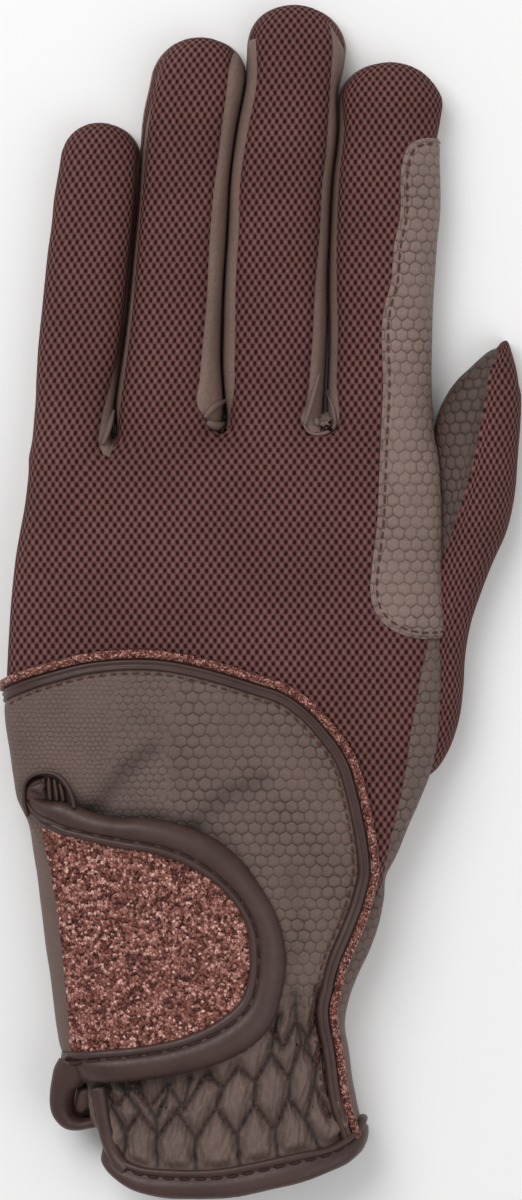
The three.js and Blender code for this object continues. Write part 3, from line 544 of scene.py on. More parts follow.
def hand_loft():
    """The hand, from below the hem to the crotches."""
    rings = []
    for along in np.linspace(-0.06, 1.06, 70):
        left, right, top = hand_row(along)
        slant = 0.1 * np.clip((along - 0.85) / 0.15, 0, 1)
        centre = ((left + right) / 2, HEM_Y + along * PALM_LENGTH)
        rings.append(ring(120, HAND_SQUARENESS, centre, (1, slant), (right - left) / 2, top))
    left, right, top = hand_row(1.06)
    for share in (0.45, 0.6, 0.72, 0.82, 0.9, 0.96, 1):
        centre = ((left + right) / 2, CROTCH_Y - 8 + 8 * share)
        closing = ring(120, HAND_SQUARENESS, centre, (1, 0.1), (right - left) / 2, top)
        middle = (top - REST_DEPTH) / 2
        closing[:, 2] = middle + (closing[:, 2] - middle) * math.sqrt(max(1 - share**2, 0.02))
        rings.append(closing)
    return loft(rings)


def middle_line(root, lean, bow, length, distance, across):
    """A point of a leaning, bowed finger, by its distance from the root."""
    angle = math.radians(lean)
    sideways = bow * np.sin(math.pi * np.clip(distance / length, 0, 1)) + across
    return np.stack([
        root[0] + math.sin(angle) * distance + math.cos(angle) * sideways,
        root[1] + math.cos(angle) * distance - math.sin(angle) * sideways,
    ], axis=-1)


def digit_loft(root, width, length, lean, bow, height, shape):
    """A finger or the thumb, to its round tip."""
    sideways = (math.cos(math.radians(lean)), -math.sin(math.radians(lean)))
    depth = 0.48 * width
    straight = length - depth
    rings = []

    def add(distance, share, wide, tall):
        half = width / 2 * through(shape[:, 0], shape[:, 1], share) * wide
        top = height * through(shape[:, 0], shape[:, 2], share) * tall
        centre = middle_line(root, lean, bow, length, distance, 0)
        rings.append(ring(64, DIGIT_SQUARENESS, centre, sideways, half, top))

    for distance in np.linspace(shape[0, 0] * length, straight, 60):
        add(distance, distance / length, 1, 1)
    for share in np.sin(np.linspace(0.1, 0.985, 16) * math.pi / 2):
        round_off = (1 - share**2.2) ** (1 / 2.2)
        add(straight + depth * share, 1, round_off, 0.42 + 0.58 * round_off)
    return loft(rings)


def side_at(line, y):
    """Where a side line, given from the tip down, stands at a height."""
    line = np.asarray(line)[::-1]
    return through(line[:, 1], line[:, 0], y)


def finger_of(points):
    """Which finger each point belongs to, by the gaps between them."""
    owner = np.zeros(len(points), int)
    for i in range(3):
        left, right = FINGER_SIDES[i][1], FINGER_SIDES[i + 1][0]
        gap = (side_at(left, points[:, 1]) + side_at(right, points[:, 1])) / 2
        owner += points[:, 0] > gap
    return owner


def drawn_side(i, side, y):
    """Where the lofted finger's side stands at a height."""
    x, width, length, lean, bow = FINGERS[i]
    distance = (y - KNUCKLE_Y) / math.cos(math.radians(lean))
    half = width / 2 * through(FINGER_SHAPE[:, 0], FINGER_SHAPE[:, 1], distance / length)
    return middle_line((x, KNUCKLE_Y), lean, bow, length, distance, side * half)[..., 0]


def added(name, data):
    """A new object in the scene."""
    made = bpy.data.objects.new(name, data)
    bpy.context.collection.objects.link(made)
    return made


def combined(bodies):
    """The points and faces of several bodies as one."""
    points, faces, start = [], [], 0
    for body_points, body_faces in bodies:
        points.append(body_points)
        faces += [[int(v) + start for v in f] for f in body_faces]
        start += len(body_points)
    return np.vstack(points), faces


def evaluated_mesh(made):
    """The mesh that an object's modifiers give."""
    return bpy.data.meshes.new_from_object(made.evaluated_get(bpy.context.evaluated_depsgraph_get()))


def mesh_of(name, points, faces):
    """A Blender mesh, in metres, from points in millimetres."""
    mesh = bpy.data.meshes.new(name)
    places = (np.asarray(points)[:, :3] * MM).tolist()
    mesh.from_pydata(places, [], [list(map(int, f)) for f in faces])
    mesh.update()
    return mesh


def joined_skin(lofts, grain, evening):
    """One even skin round overlapping closed lofts, as points and triangles."""
    solid = added("skin", mesh_of("skin", *combined(lofts)))
    remesh = solid.modifiers.new("even", "REMESH")
    remesh.mode = "VOXEL"
    remesh.voxel_size = grain * MM
    smooth = solid.modifiers.new("smooth", "SMOOTH")
    smooth.factor = 0.5
    smooth.iterations = evening
    result = evaluated_mesh(solid)
    result.calc_loop_triangles()
    skin = np.empty(len(result.vertices) * 3)
    result.vertices.foreach_get("co", skin)
    triangles = np.empty(len(result.loop_triangles) * 3, int)
    result.loop_triangles.foreach_get("vertices", triangles)
    bpy.data.objects.remove(solid)
    bpy.data.meshes.remove(result)
    return skin.reshape(-1, 3) / MM, triangles.reshape(-1, 3)


SPREAD = 4.0  # extra room between fingers while their skin is made
SPREAD_FROM = 30.0
SPREAD_TO = 48.0


def spread_by(i, y):
    """How far a finger is moved aside while the skin is made."""
    return (i - 1.5) * SPREAD * rise(SPREAD_FROM, SPREAD_TO, y)


def together(skin):
    """Moves the fingers of a skin back beside each other."""
    y = skin[:, 1]
    owner = np.zeros(len(skin), int)
    for i in range(3):
        gap = (drawn_side(i, 1, y) + drawn_side(i + 1, -1, y)) / 2
        owner += skin[:, 0] > gap + (spread_by(i, y) + spread_by(i + 1, y)) / 2
    result = skin.copy()
    for i in range(4):
        mine = owner == i
        result[mine, 0] -= spread_by(i, y[mine])
    return result, owner


def fitted(skin, owner):
    """Draws the skin out to the glove's outline and the fingers' sides."""
    x, y = skin[:, 0], skin[:, 1]
    left, right, _ = hand_row((y - HEM_Y) / PALM_LENGTH)
    t = (x - left) / (right - left)
    new_left, new_right = side_at(LEFT_SIDE, y), side_at(RIGHT_SIDE, y)
    on_hand = new_left + t * (new_right - new_left)
    on_finger = np.empty(len(skin))
    for i in range(4):
        mine = owner == i
        low, high = drawn_side(i, -1, y[mine]), drawn_side(i, 1, y[mine])
        t = (x[mine] - low) / (high - low)
        new_low, new_high = (side_at(FINGER_SIDES[i][k], y[mine]) for k in (0, 1))
        touching = 0.5 * rise(5.6, 3.4, skin[mine, 2])
        new_low -= touching * (i > 0)
        new_high += touching * (i < 3)
        on_finger[mine] = new_low + t * (new_high - new_low)
    share = rise(*FINGER_ROOTS, y)
    result = skin.copy()
    result[:, 0] = on_hand * (1 - share) + on_finger * share
    return result


def rested(skin):
    """Flattens what would sink below the resting plane."""
    result = skin.copy()
    result[:, 2] = (skin[:, 2] + np.sqrt(skin[:, 2] ** 2 + 0.5)) / 2
    return result


def corner_normals(points, triangles):
    """Smooth normals of a triangle mesh."""
    a, b, c = (points[triangles[:, k], :3] for k in range(3))
    flat = np.cross(b - a, c - a)
    normals = np.zeros((len(points), 3))
    for k in range(3):
        np.add.at(normals, triangles[:, k], flat)
    return normals / np.maximum(np.linalg.norm(normals, axis=1), 1e-12)[:, None]


@functools.lru_cache(maxsize=None)
def body():
    """The skin of hand and fingers: points, triangles, normals and a ray tree."""
    lofts = [hand_loft()]
    for i, (x, width, length, lean, bow) in enumerate(FINGERS):
        points, faces = digit_loft(
            (x, KNUCKLE_Y), width, length, lean, bow, FINGER_HEIGHT, FINGER_SHAPE,
        )
        points[:, 0] += spread_by(i, points[:, 1])
        lofts.append((points, faces))
    skin, triangles = joined_skin(lofts, BODY_GRAIN, BODY_EVENING)
    skin = rested(fitted(*together(skin)))
    return skin, triangles, corner_normals(skin, triangles), ray_tree(skin, triangles)


def thumb():
    """The skin of the thumb, with its root tucked in beside the wrist."""
    x, width, length, lean, bow = THUMB
    root = (x, THUMB_Y)
    thumb_loft = digit_loft(root, width, length, lean, bow, THUMB_HEIGHT, THUMB_SHAPE)
    skin, triangles = joined_skin([thumb_loft], THUMB_GRAIN, THUMB_EVENING)
    y = skin[:, 1]
    distance = (y - THUMB_Y) / math.cos(math.radians(lean))
    half = width / 2 * through(THUMB_SHAPE[:, 0], THUMB_SHAPE[:, 1], distance / length)
    low, high = (middle_line(root, lean, bow, length, distance, k * half)[:, 0] for k in (-1, 1))
    t = (skin[:, 0] - low) / (high - low)
    new_low, new_high = (side_at(line, y) for line in THUMB_SIDES)
    skin[:, 0] = new_low + t * (new_high - new_low) - THUMB_TUCK * rise(*THUMB_TUCK_ROWS, y)
    return rested(skin), triangles


def ray_tree(points, triangles):
    """A tree for finding places on a skin."""
    return BVHTree.FromPolygons(points.tolist(), triangles.tolist(), all_triangles=True)


def dropped(places):
    """Points of the skin straight below flat places, and its normals there."""
    _, triangles, normals, tree = body()
    found, directions = np.empty((len(places), 3)), np.empty((len(places), 3))
    for k, place in enumerate(places):
        hit, _, face, _ = tree.ray_cast(Vector((place[0], place[1], 60)), Vector((0, 0, -1)))
        if hit is None:
            hit, _, face, _ = tree.find_nearest(Vector((place[0], place[1], 7)))
        found[k] = hit
        directions[k] = normals[triangles[face]].mean(axis=0)
    return found, directions


# Cutting a skin into pieces


def cut(points, triangles, depth):
    """Keeps the part of a skin where the depth is above 0, with an exact edge."""
    inside = depth > 0
    count = inside[triangles].sum(axis=1)
    whole = triangles[count == 3]
    made, new_points, faces = {}, [], []

    def crossing(a, b):
        key = (min(a, b), max(a, b))
        if key not in made:
            t = depth[a] / (depth[a] - depth[b])
            made[key] = len(points) + len(new_points)
            new_points.append(points[a] + (points[b] - points[a]) * t)
        return made[key]

    for face in triangles[(count == 1) | (count == 2)].tolist():
        ins = [inside[v] for v in face]
        turn = ins.index(True) if sum(ins) == 1 else (ins.index(False) + 1) % 3
        a, b, c = face[turn:] + face[:turn]
        if sum(ins) == 1:
            faces.append((a, crossing(a, b), crossing(a, c)))
        else:
            bc, ac = crossing(b, c), crossing(a, c)
            faces += [(a, b, bc), (a, bc, ac)]
    if new_points:
        points = np.vstack([points, new_points])
        whole = np.vstack([whole, faces])
    used, back = np.unique(whole, return_inverse=True)
    return points[used], back.reshape(-1, 3)


def refined(points, triangles, chosen=None):
    """Splits triangles into four, and those beside them so that all still meet."""
    if chosen is None:
        chosen = np.ones(len(triangles), bool)
    edges = np.sort(np.vstack([triangles[:, k] for k in ((0, 1), (1, 2), (2, 0))]), axis=1)
    unique, back = np.unique(edges, axis=0, return_inverse=True)
    back = back.reshape(3, -1)
    split = np.zeros(len(unique), bool)
    split[back[:, chosen].ravel()] = True
    number = np.full(len(unique), -1)
    number[split] = len(points) + np.arange(split.sum())
    points = np.vstack([points, points[unique[split]].mean(axis=1)])
    has = split[back]
    count = has.sum(axis=0)
    made = [triangles[count == 0]]
    full = count == 3
    a, b, c = triangles[full].T
    ab, bc, ca = number[back[:, full]]
    made += [np.stack(f, axis=1) for f in ((a, ab, ca), (ab, b, bc), (ca, bc, c), (ab, bc, ca))]
    for k in range(3):
        corners = (k, (k + 1) % 3, (k + 2) % 3)
        one = (count == 1) & has[k]
        a, b, c = triangles[one][:, corners].T
        ab = number[back[k, one]]
        made += [np.stack(f, axis=1) for f in ((a, ab, c), (ab, b, c))]
        two = (count == 2) & ~has[corners[2]]
        a, b, c = triangles[two][:, corners].T
        ab, bc = number[back[k, two]], number[back[corners[1], two]]
        made += [np.stack(f, axis=1) for f in ((ab, b, bc), (a, ab, bc), (a, bc, c))]
    return points, np.vstack(made)


# Finishes


def srgb(red, green, blue):
    """A linear colour from the everyday 0 to 255 numbers."""
    shares = [v / 255 for v in (red, green, blue)]
    return tuple(s / 12.92 if s < 0.04045 else ((s + 0.055) / 1.055) ** 2.4 for s in shares)


class Finish:
    """A procedural material in the making."""

    def __init__(self, name, roughness, specular=0.4):
        self.material = bpy.data.materials.new(name)
        self.material.use_nodes = True
        self.tree = self.material.node_tree
        self.shader = self.tree.nodes["Principled BSDF"]
        self.shader.inputs["Roughness"].default_value = roughness
        self.shader.inputs["Specular IOR Level"].default_value = specular

    def node(self, kind, inputs=None, **settings):
        """A node with its inputs set or linked."""
        node = self.tree.nodes.new(kind)
        for name, value in settings.items():
            setattr(node, name, value)
        for name, value in (inputs or {}).items():
            if isinstance(value, bpy.types.NodeSocket):
                self.tree.links.new(value, node.inputs[name])
            else:
                node.inputs[name].default_value = value
        return node

    def math(self, operation, a, b=0.0, c=0.0):
        """The result of a sum on one to three values."""
        return self.node("ShaderNodeMath", {0: a, 1: b, 2: c}, operation=operation).outputs[0]

    def step(self, value, low, high, at_low=0.0, at_high=1.0):
        """A smooth step between two values."""
        inputs = {"Value": value, "From Min": low, "From Max": high, "To Min": at_low, "To Max": at_high}
        return self.node("ShaderNodeMapRange", inputs, interpolation_type="SMOOTHSTEP").outputs[0]

    def along_skin(self):
        """Places on the piece's own map, in millimetres."""
        return self.node("ShaderNodeUVMap", uv_map="skin").outputs[0]

    def in_place(self):
        """Places on the object, in metres."""
        return self.node("ShaderNodeTexCoord").outputs["Object"]

    def between(self, low, high, share):
        """A value between two others, by a share."""
        return self.math("MULTIPLY_ADD", self.math("SUBTRACT", high, low), share, low)

    def noise(self, vector, scale, detail=3.0, roughness=0.5):
        """Soft random values from 0 to 1."""
        inputs = {"Vector": vector, "Scale": scale, "Detail": detail, "Roughness": roughness}
        return self.node("ShaderNodeTexNoise", inputs).outputs["Fac"]

    def wavered(self, vector, scale, amount):
        """Places that waver a little, so that a pattern isn't ruled."""
        colour = self.node(
            "ShaderNodeTexNoise", {"Vector": vector, "Scale": scale, "Detail": 2.0},
        ).outputs["Color"]
        away = self.node(
            "ShaderNodeVectorMath", {0: colour, 1: (0.5, 0.5, 0.5)}, operation="SUBTRACT",
        ).outputs[0]
        scaled = self.node("ShaderNodeVectorMath", {0: away, "Scale": amount}, operation="SCALE")
        return self.node(
            "ShaderNodeVectorMath", {0: vector, 1: scaled.outputs[0]}, operation="ADD",
        ).outputs[0]

    def split(self, vector):
        """The first two coordinates of a place."""
        return self.node("ShaderNodeSeparateXYZ", {0: vector}).outputs[:2]

    def ramp(self, value, stops):
        """A colour read from a ramp."""
        node = self.node("ShaderNodeValToRGB", {"Fac": value})
        elements = node.color_ramp.elements
        while len(elements) < len(stops):
            elements.new(0.5)
        for element, (place, colour) in zip(elements, stops):
            element.position = place
            element.color = (*colour, 1)
        return node.outputs[0]

    def toned(self, colour, tone):
        """A colour made darker or lighter by a value."""
        return self.node("ShaderNodeVectorMath", {0: colour, "Scale": tone}, operation="SCALE").outputs[0]

    def finish(self, colour, height, depth, strength=1.0, roughness=None):
        """Connects the colour, the relief and the gloss."""
        bump = self.node("ShaderNodeBump", {
            "Height": height, "Distance": depth * MM, "Strength": strength,
        })
        if colour is not None:
            self.tree.links.new(colour, self.shader.inputs["Base Color"])
        self.tree.links.new(bump.outputs[0], self.shader.inputs["Normal"])
        if roughness is not None:
            self.tree.links.new(roughness, self.shader.inputs["Roughness"])
        return self.material


def mesh_cloth(look):
    """Knitted mesh: staggered rows of dark holes between light threads."""
    f = Finish("mesh_cloth", 0.85, 0.12)
    places = f.wavered(f.along_skin(), 0.35, 0.28)
    u, v = f.split(places)
    across = f.math("COSINE", f.math("MULTIPLY", u, TAU / look.hole_pitch))
    along = f.math("COSINE", f.math("MULTIPLY", v, TAU / look.hole_row))
    weave = f.math("MULTIPLY", across, along)
    uneven = f.noise(places, 1.1, 2.0)
    hole = f.step(f.math("MULTIPLY_ADD", uneven, 0.5, weave), 0.35, 1.05)
    fibre = f.noise(places, 3.2, 3.0, 0.7)
    shade = f.math("MULTIPLY_ADD", weave, 0.28, 0.42)
    shade = f.math("ADD", shade, f.math("MULTIPLY_ADD", fibre, 0.5, -0.25))
    colour = f.ramp(shade, (
        (0.0, look.cloth_light), (0.45, look.cloth), (0.8, look.cloth_dark), (1.0, look.cloth_dark),
    ))
    tone = f.step(f.noise(f.along_skin(), 0.05, 3.0), 0.3, 0.7, 0.9, 1.08)
    tone = f.math("MULTIPLY", tone, f.math("MULTIPLY_ADD", hole, -0.62, 1.0))
    height = f.math("MULTIPLY_ADD", fibre, 0.25, f.math("MULTIPLY", hole, -1.0))
    height = f.math("MULTIPLY_ADD", weave, -0.35, height)
    return f.finish(f.toned(colour, tone), height, 0.22, 0.9)


def scale_rows(f, places, pitch, row):
    """How near a place is to the rim of its scale, and how high up the scale it lies."""
    u, v = f.split(places)
    side = 0.5 * math.hypot(pitch / 2, row)
    nx, ny = pitch / 4 / side, row / 2 / side

    def scale(shift):
        across = f.math("SUBTRACT", f.math("FRACT", f.math("MULTIPLY_ADD", u, 1 / pitch, shift)), 0.5)
        along = f.math("SUBTRACT", f.math("FRACT", f.math("MULTIPLY_ADD", v, 0.5 / row, shift)), 0.5)
        wide = f.math("ABSOLUTE", f.math("MULTIPLY", across, pitch))
        tall = f.math("ABSOLUTE", f.math("MULTIPLY", along, 2 * row))
        slanted = f.math("MULTIPLY_ADD", wide, nx / side, f.math("MULTIPLY", tall, ny / side))
        return f.math("MAXIMUM", f.math("MULTIPLY", wide, 2 / pitch), slanted), along

    (first, low), (second, high) = scale(0.0), scale(0.5)
    edge = f.math("MINIMUM", first, second)
    nearer = f.math("LESS_THAN", first, second)
    return edge, f.math("MULTIPLY_ADD", nearer, f.math("SUBTRACT", low, high), high)


def scale_leather(look, name, light, dark, pitch=None, boldness=1.0, wrist=False):
    """Leather embossed with staggered six-sided scales, with painted shade in the grooves between the
    scales, on each scale's lower part and where the points carry painted shade.
    """
    f = Finish(name, 0.6, 0.3)
    pitch = pitch or look.scale_pitch
    plain = f.along_skin()
    places = f.wavered(plain, 0.45, 0.95)
    edge, tilt = scale_rows(f, places, pitch, 0.88 * pitch)
    if wrist:
        broken = f.math("MULTIPLY_ADD", f.noise(plain, 0.2, 2.0), 7.0, f.split(plain)[0])
        for share, start, end in WRIST_SCALES:
            small = scale_rows(f, places, share * pitch, 0.8 * share * pitch)
            blend = f.step(broken, start, end)
            edge = f.between(small[0], edge, blend)
            tilt = f.between(small[1], tilt, blend)
    bold = f.math("MULTIPLY", f.step(f.noise(plain, 0.09, 2.0), 0.3, 0.7, 0.55, 1.0), boldness)
    if wrist:
        bold = f.math("MULTIPLY", bold, f.step(f.split(plain)[1], -88.0, -74.0))
        bold = f.math("MULTIPLY", bold, f.step(broken, -28.0, -12.0, 0.6, 1.0))
    # Painted shade: the colour darkens in the grooves between the scales and on the lower part of each
    # scale, where shade from light above would fall.
    groove = f.math("MULTIPLY", f.step(edge, 0.8, 1.0), bold)
    under = f.math("MULTIPLY", f.step(tilt, 0.05, -0.45), bold)
    grain = f.noise(places, 1.9, 5.0, 0.7)
    pores = f.noise(places, 6.0, 2.0, 0.5)
    blend = f.math("MULTIPLY_ADD", groove, 0.6, f.math("MULTIPLY", under, 0.4))
    blend = f.math("ADD", blend, f.math("MULTIPLY_ADD", grain, 0.9, -0.4))
    colour = f.ramp(f.math("MULTIPLY_ADD", pores, 0.25, blend), ((0.0, light), (1.0, dark)))
    # The painted shade that the points carry, in the cuff's creases, along the folds and below the tab,
    # darkens the colour.
    painted_shade = f.node("ShaderNodeAttribute", attribute_name="shade").outputs["Fac"]
    tone = f.step(f.noise(plain, 0.06, 3.0), 0.3, 0.7, 0.92, 1.08)
    tone = f.math("MULTIPLY", tone, f.math("MULTIPLY_ADD", painted_shade, -0.92, 1.0))
    height = f.math("MULTIPLY", f.math("MULTIPLY", f.step(edge, 0.6, 1.0), bold), -1.0)
    height = f.math("MULTIPLY_ADD", f.math("MULTIPLY", tilt, bold), -0.7, height)
    height = f.math("ADD", height, f.math("MULTIPLY_ADD", grain, 0.6, f.math("MULTIPLY", pores, 0.2)))
    return f.finish(f.toned(colour, tone), height, 0.17, 0.9)


def smooth_leather(look):
    """Plain fine-grained leather of the bound edges."""
    f = Finish("smooth_leather", 0.45, 0.45)
    places = f.in_place()
    pores = f.node("ShaderNodeTexVoronoi", {"Vector": places, "Scale": 1900.0}).outputs["Distance"]
    grain = f.noise(places, 900.0, 3.0)
    colour = f.ramp(f.noise(places, 160.0, 5.0, 0.6), ((0.3, look.binding_dark), (0.75, look.binding)))
    height = f.math("MULTIPLY_ADD", grain, 0.5, f.math("MULTIPLY", pores, 0.35))
    roughness = f.step(grain, 0.2, 0.8, 0.36, 0.55)
    return f.finish(colour, height, 0.05, 0.6, roughness)


def glitter_cloth(look, name="glitter_cloth", grain=1.55, depth=0.35):
    """Cloth covered with coarse glitter."""
    f = Finish(name, 0.42, 0.3)
    places = f.in_place()
    inputs = {"Vector": places, "Scale": grain / MM, "Randomness": 1.0}
    flakes = f.node("ShaderNodeTexVoronoi", inputs)
    fine = f.node("ShaderNodeTexVoronoi", {"Vector": places, "Scale": 2.3 * grain / MM})
    pick = f.split(flakes.outputs["Color"])[0]
    spark = f.split(fine.outputs["Color"])[1]
    value = f.math("MULTIPLY_ADD", pick, 0.62, f.math("MULTIPLY", spark, 0.38))
    value = f.math("SUBTRACT", value, f.math("MULTIPLY", flakes.outputs["Distance"], 0.25))
    # Each flake gets a random tone; the ramp's brightest stops colour the brightest flakes as painted
    # glints.
    colour = f.ramp(value, (
        (0.02, look.glitter_dark), (0.3, look.glitter), (0.62, look.glitter_light), (0.86, look.painted_glint),
    ))
    height = f.math("MULTIPLY_ADD", pick, 0.8, f.math("MULTIPLY", flakes.outputs["Distance"], -0.7))
    height = f.math("MULTIPLY_ADD", spark, 0.3, height)
    roughness = f.step(spark, 0.0, 1.0, 0.25, 0.7)
    f.shader.inputs["Metallic"].default_value = 0.25
    return f.finish(colour, height, depth, 0.9, roughness)


def thread(name, dark, light):
    """Sewing thread with a slight twist."""
    f = Finish(name, 0.6, 0.3)
    places = f.in_place()
    twist = f.noise(places, 3500.0, 2.0)
    colour = f.ramp(twist, ((0.3, dark), (0.7, light)))
    return f.finish(colour, twist, 0.08, 0.5)


def hook_tape(look):
    """The closure's hook tape, with rows of tiny hooks."""
    f = Finish("hook_tape", 0.9, 0.2)
    u, v = f.split(f.in_place())
    rows = f.math("MULTIPLY", f.math("SINE", f.math("MULTIPLY", u, TAU / (1.1 * MM))),
                  f.math("SINE", f.math("MULTIPLY", v, TAU / (1.1 * MM))))
    colour = f.ramp(rows, ((0.2, look.tape), (0.8, look.tape_light)))
    return f.finish(colour, rows, 0.3)


def stage_paper(look):
    """Plain pale paper under the glove."""
    f = Finish("stage_paper", 0.9, 0.1)
    f.shader.inputs["Base Color"].default_value = (*look.paper, 1)
    return f.finish(None, f.noise(f.in_place(), 300.0), 0.02, 0.1)


FINISHES = {}


def finish_named(name):
    """A material, made once from the colours in the panel."""
    if name not in FINISHES:
        look = bpy.context.scene.glove_look
        makers = {
            "mesh_cloth": mesh_cloth,
            "patch_leather": lambda k: scale_leather(k, name, k.patch, k.patch_dark, 2.5),
            "wrist_leather": lambda k: scale_leather(k, name, k.leather, k.leather_dark, wrist=True),
            "finger_leather": lambda k: scale_leather(k, name, k.finger, k.finger_dark, 2.3, 0.2),
            "root_leather": lambda k: scale_leather(k, name, k.leather, k.leather_dark, 2.3, 0.0),
            "thumb_leather": lambda k: scale_leather(k, name, k.thumb, k.thumb_dark, 2.6, 1.3),
            "smooth_leather": smooth_leather,
            "glitter_cloth": glitter_cloth,
            "glitter_cord": lambda k: glitter_cloth(k, name, 2.6, 0.25),
            "thread": lambda k: thread(name, k.thread_dark, k.thread),
            # Stitches of the bound edges, coloured nearly black: partly their dark thread, partly painted
            # shade of the stitch grooves.
            "dark_thread_and_groove_shade": lambda k: thread(name, k.gap, k.binding_dark),
            "hook_tape": hook_tape,
            "stage_paper": stage_paper,
        }
        FINISHES[name] = makers[name](look)
    return FINISHES[name]


# Making pieces


def merged(points, triangles, grid=0.02):
    """Joins points that nearly coincide and drops faces that vanish."""
    _, first, back = np.unique(
        np.round(points[:, :3] / grid), axis=0, return_index=True, return_inverse=True,
    )
    triangles = back.reshape(-1)[triangles]
    a, b, c = triangles.T
    real = (a != b) & (b != c) & (c != a)
    return points[first], triangles[real]


def rim_edges(triangles):
    """Edges that only one triangle has, in that triangle's order."""
    edges = np.vstack([triangles[:, k] for k in ((0, 1), (1, 2), (2, 0))])
    _, back, uses = np.unique(np.sort(edges, axis=1), axis=0, return_inverse=True, return_counts=True)
    return edges[uses[back.reshape(-1)] == 1]


def skin_piece(name, points, triangles, finish, wall, shade=None):
    """A piece of skin, given with its normals, with its wall and a map along it."""
    if shade is not None:
        points = np.column_stack([points, shade])
    points, triangles = merged(points, triangles)
    used, back = np.unique(triangles, return_inverse=True)
    points, triangles = points[used], back.reshape(-1, 3)
    points, normals, shade = points[:, :3], points[:, 3:6], points[:, 6:].ravel()
    normals = normals / np.linalg.norm(normals, axis=1)[:, None]
    count = len(points)
    a, b = rim_edges(triangles).T
    faces = np.vstack([triangles, triangles[:, ::-1] + count]).tolist()
    faces += np.stack([b, a, a + count, b + count], axis=1).tolist()
    inner = points - normals * wall
    inner[:, 2] = np.maximum(inner[:, 2], LEAST_HEIGHT)
    mesh = mesh_of(name, np.vstack([points, inner]) + SHIFT, faces)
    mesh.shade_smooth()
    layer = mesh.uv_layers.new(name="skin")
    corners = np.empty(len(mesh.loops), int)
    mesh.loops.foreach_get("vertex_index", corners)
    places = skin_map(points, normals)
    layer.data.foreach_set("uv", np.vstack([places, places])[corners].ravel())
    mesh.normals_split_custom_set_from_vertices(np.vstack([normals, -normals]).tolist())
    # Painted shade, where given, is stored on the points for the leather's colour to darken by.
    if len(shade):
        layer = mesh.attributes.new("shade", "FLOAT", "POINT")
        layer.data.foreach_set("value", np.concatenate([shade, shade]))
    mesh.materials.append(finish_named(finish))
    return added(name, mesh)


def skin_map(points, normals):
    """Places on the skin, unrolled outwards down its sides."""
    x, y, z = points.T
    flat = normals[:, :2] / np.maximum(np.linalg.norm(normals[:, :2], axis=1), 0.3)[:, None]
    crown = 12 - 3 * rise(20, 45, y)
    fall = (crown - z + np.sqrt((crown - z) ** 2 + 4)) / 2
    lean = np.tan(np.radians([finger[3] for finger in FINGERS]))[finger_of(points)]
    return np.stack([x - lean * np.maximum(y - 28, 0), y], axis=1) + flat * fall[:, None]


def solid_piece(name, bodies, finish):
    """A piece of one or more closed bodies, with its faces outwards."""
    points, faces = combined(bodies)
    mesh = mesh_of(name, points + SHIFT, faces)
    work = bmesh.new()
    work.from_mesh(mesh)
    bmesh.ops.recalc_face_normals(work, faces=work.faces)
    work.to_mesh(mesh)
    work.free()
    mesh.shade_smooth()
    mesh.materials.append(finish_named(finish))
    return added(name, mesh)


def settle_piece(piece, slot, *nodes):
    """Attaches a piece to the frame's root and hides the solids it stands for."""
    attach(piece, "root")
    if nodes:
        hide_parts(*nodes)
    return piece


def swept(path, normals, profile):
    """A profile of (across, up) carried along a path on the skin."""
    along = np.gradient(path, axis=0)
    along /= np.linalg.norm(along, axis=1)[:, None]
    side = np.cross(along, normals)
    side /= np.linalg.norm(side, axis=1)[:, None]
    up = np.cross(side, along)
    rings = [p + np.array([s * a + u * b for a, b in profile]) for p, s, u in zip(path, side, up)]
    return loft(rings)


def rounded(width, height, count=14, sink=0.0):
    """An oval profile that stands on the skin."""
    angle = np.linspace(0, TAU, count, endpoint=False)
    return [(width / 2 * math.cos(a), height / 2 * (1 + math.sin(a)) - sink) for a in angle]


def tapered(points, faces, path, share):
    """Narrows a swept body towards its ends."""
    count = len(points) // len(path)
    rings = points.reshape(len(path), count, 3)
    middle = rings.mean(axis=1, keepdims=True)
    return ((rings - middle) * share[:, None, None] + middle).reshape(-1, 3), faces


def laid(line, lift=0.0):
    """A flat line laid on the skin: its points and normals, evened out."""
    points, normals = dropped(line)
    for _ in range(4):
        points[1:-1] = (points[:-2] + 2 * points[1:-1] + points[2:]) / 4
        normals[1:-1] = (normals[:-2] + 2 * normals[1:-1] + normals[2:]) / 4
    normals /= np.linalg.norm(normals, axis=1)[:, None]
    return points + normals * lift, normals


def band(inner, outer, profile, bed=None, count=160, full=0.0):
    """A closed strip between two flat lines, with a profile of (share, up)."""
    inner, outer = resample(inner, count), resample(outer, count)
    shares = np.linspace(0, 1, 7)
    if bed is None:
        bed = np.stack([laid(inner + (outer - inner) * s)[0][:, 2] for s in shares], axis=1)
        for _ in range(6):
            bed[1:-1] = (bed[:-2] + 2 * bed[1:-1] + bed[2:]) / 4
    width = np.linalg.norm(outer - inner, axis=1)
    tall = np.minimum(0.35 + 0.65 * width / full, 1) if full else np.ones(count)
    rings = []
    for k in range(count):
        ring_points = []
        for share, up in profile:
            flat = inner[k] + (outer[k] - inner[k]) * share
            ring_points.append((*flat, np.interp(share, shares, bed[k]) + up * tall[k]))
        rings.append(np.array(ring_points))
    return loft(rings)


def field(outline):
    """A function that says how far a place lies inside an outline."""
    outline = np.asarray(outline, float)
    return lambda places: depth_in(outline, places)


@functools.lru_cache(maxsize=None)
def seams():
    """The flat lines that part the pieces of the skin."""
    return {
        "arc": smooth_line(ARC), "hem": smooth_line(HEM), "slit": smooth_line(SLIT),
        "strip": smooth_line(STRIP), "patch": smooth_line(PATCH),
        "thumb": smooth_line(THUMB_SEAM),
        **{f"finger_{i}": np.vstack([smooth_line(a), smooth_line(b)])
           for i, (a, b) in enumerate(FOURCHETTES)},
    }


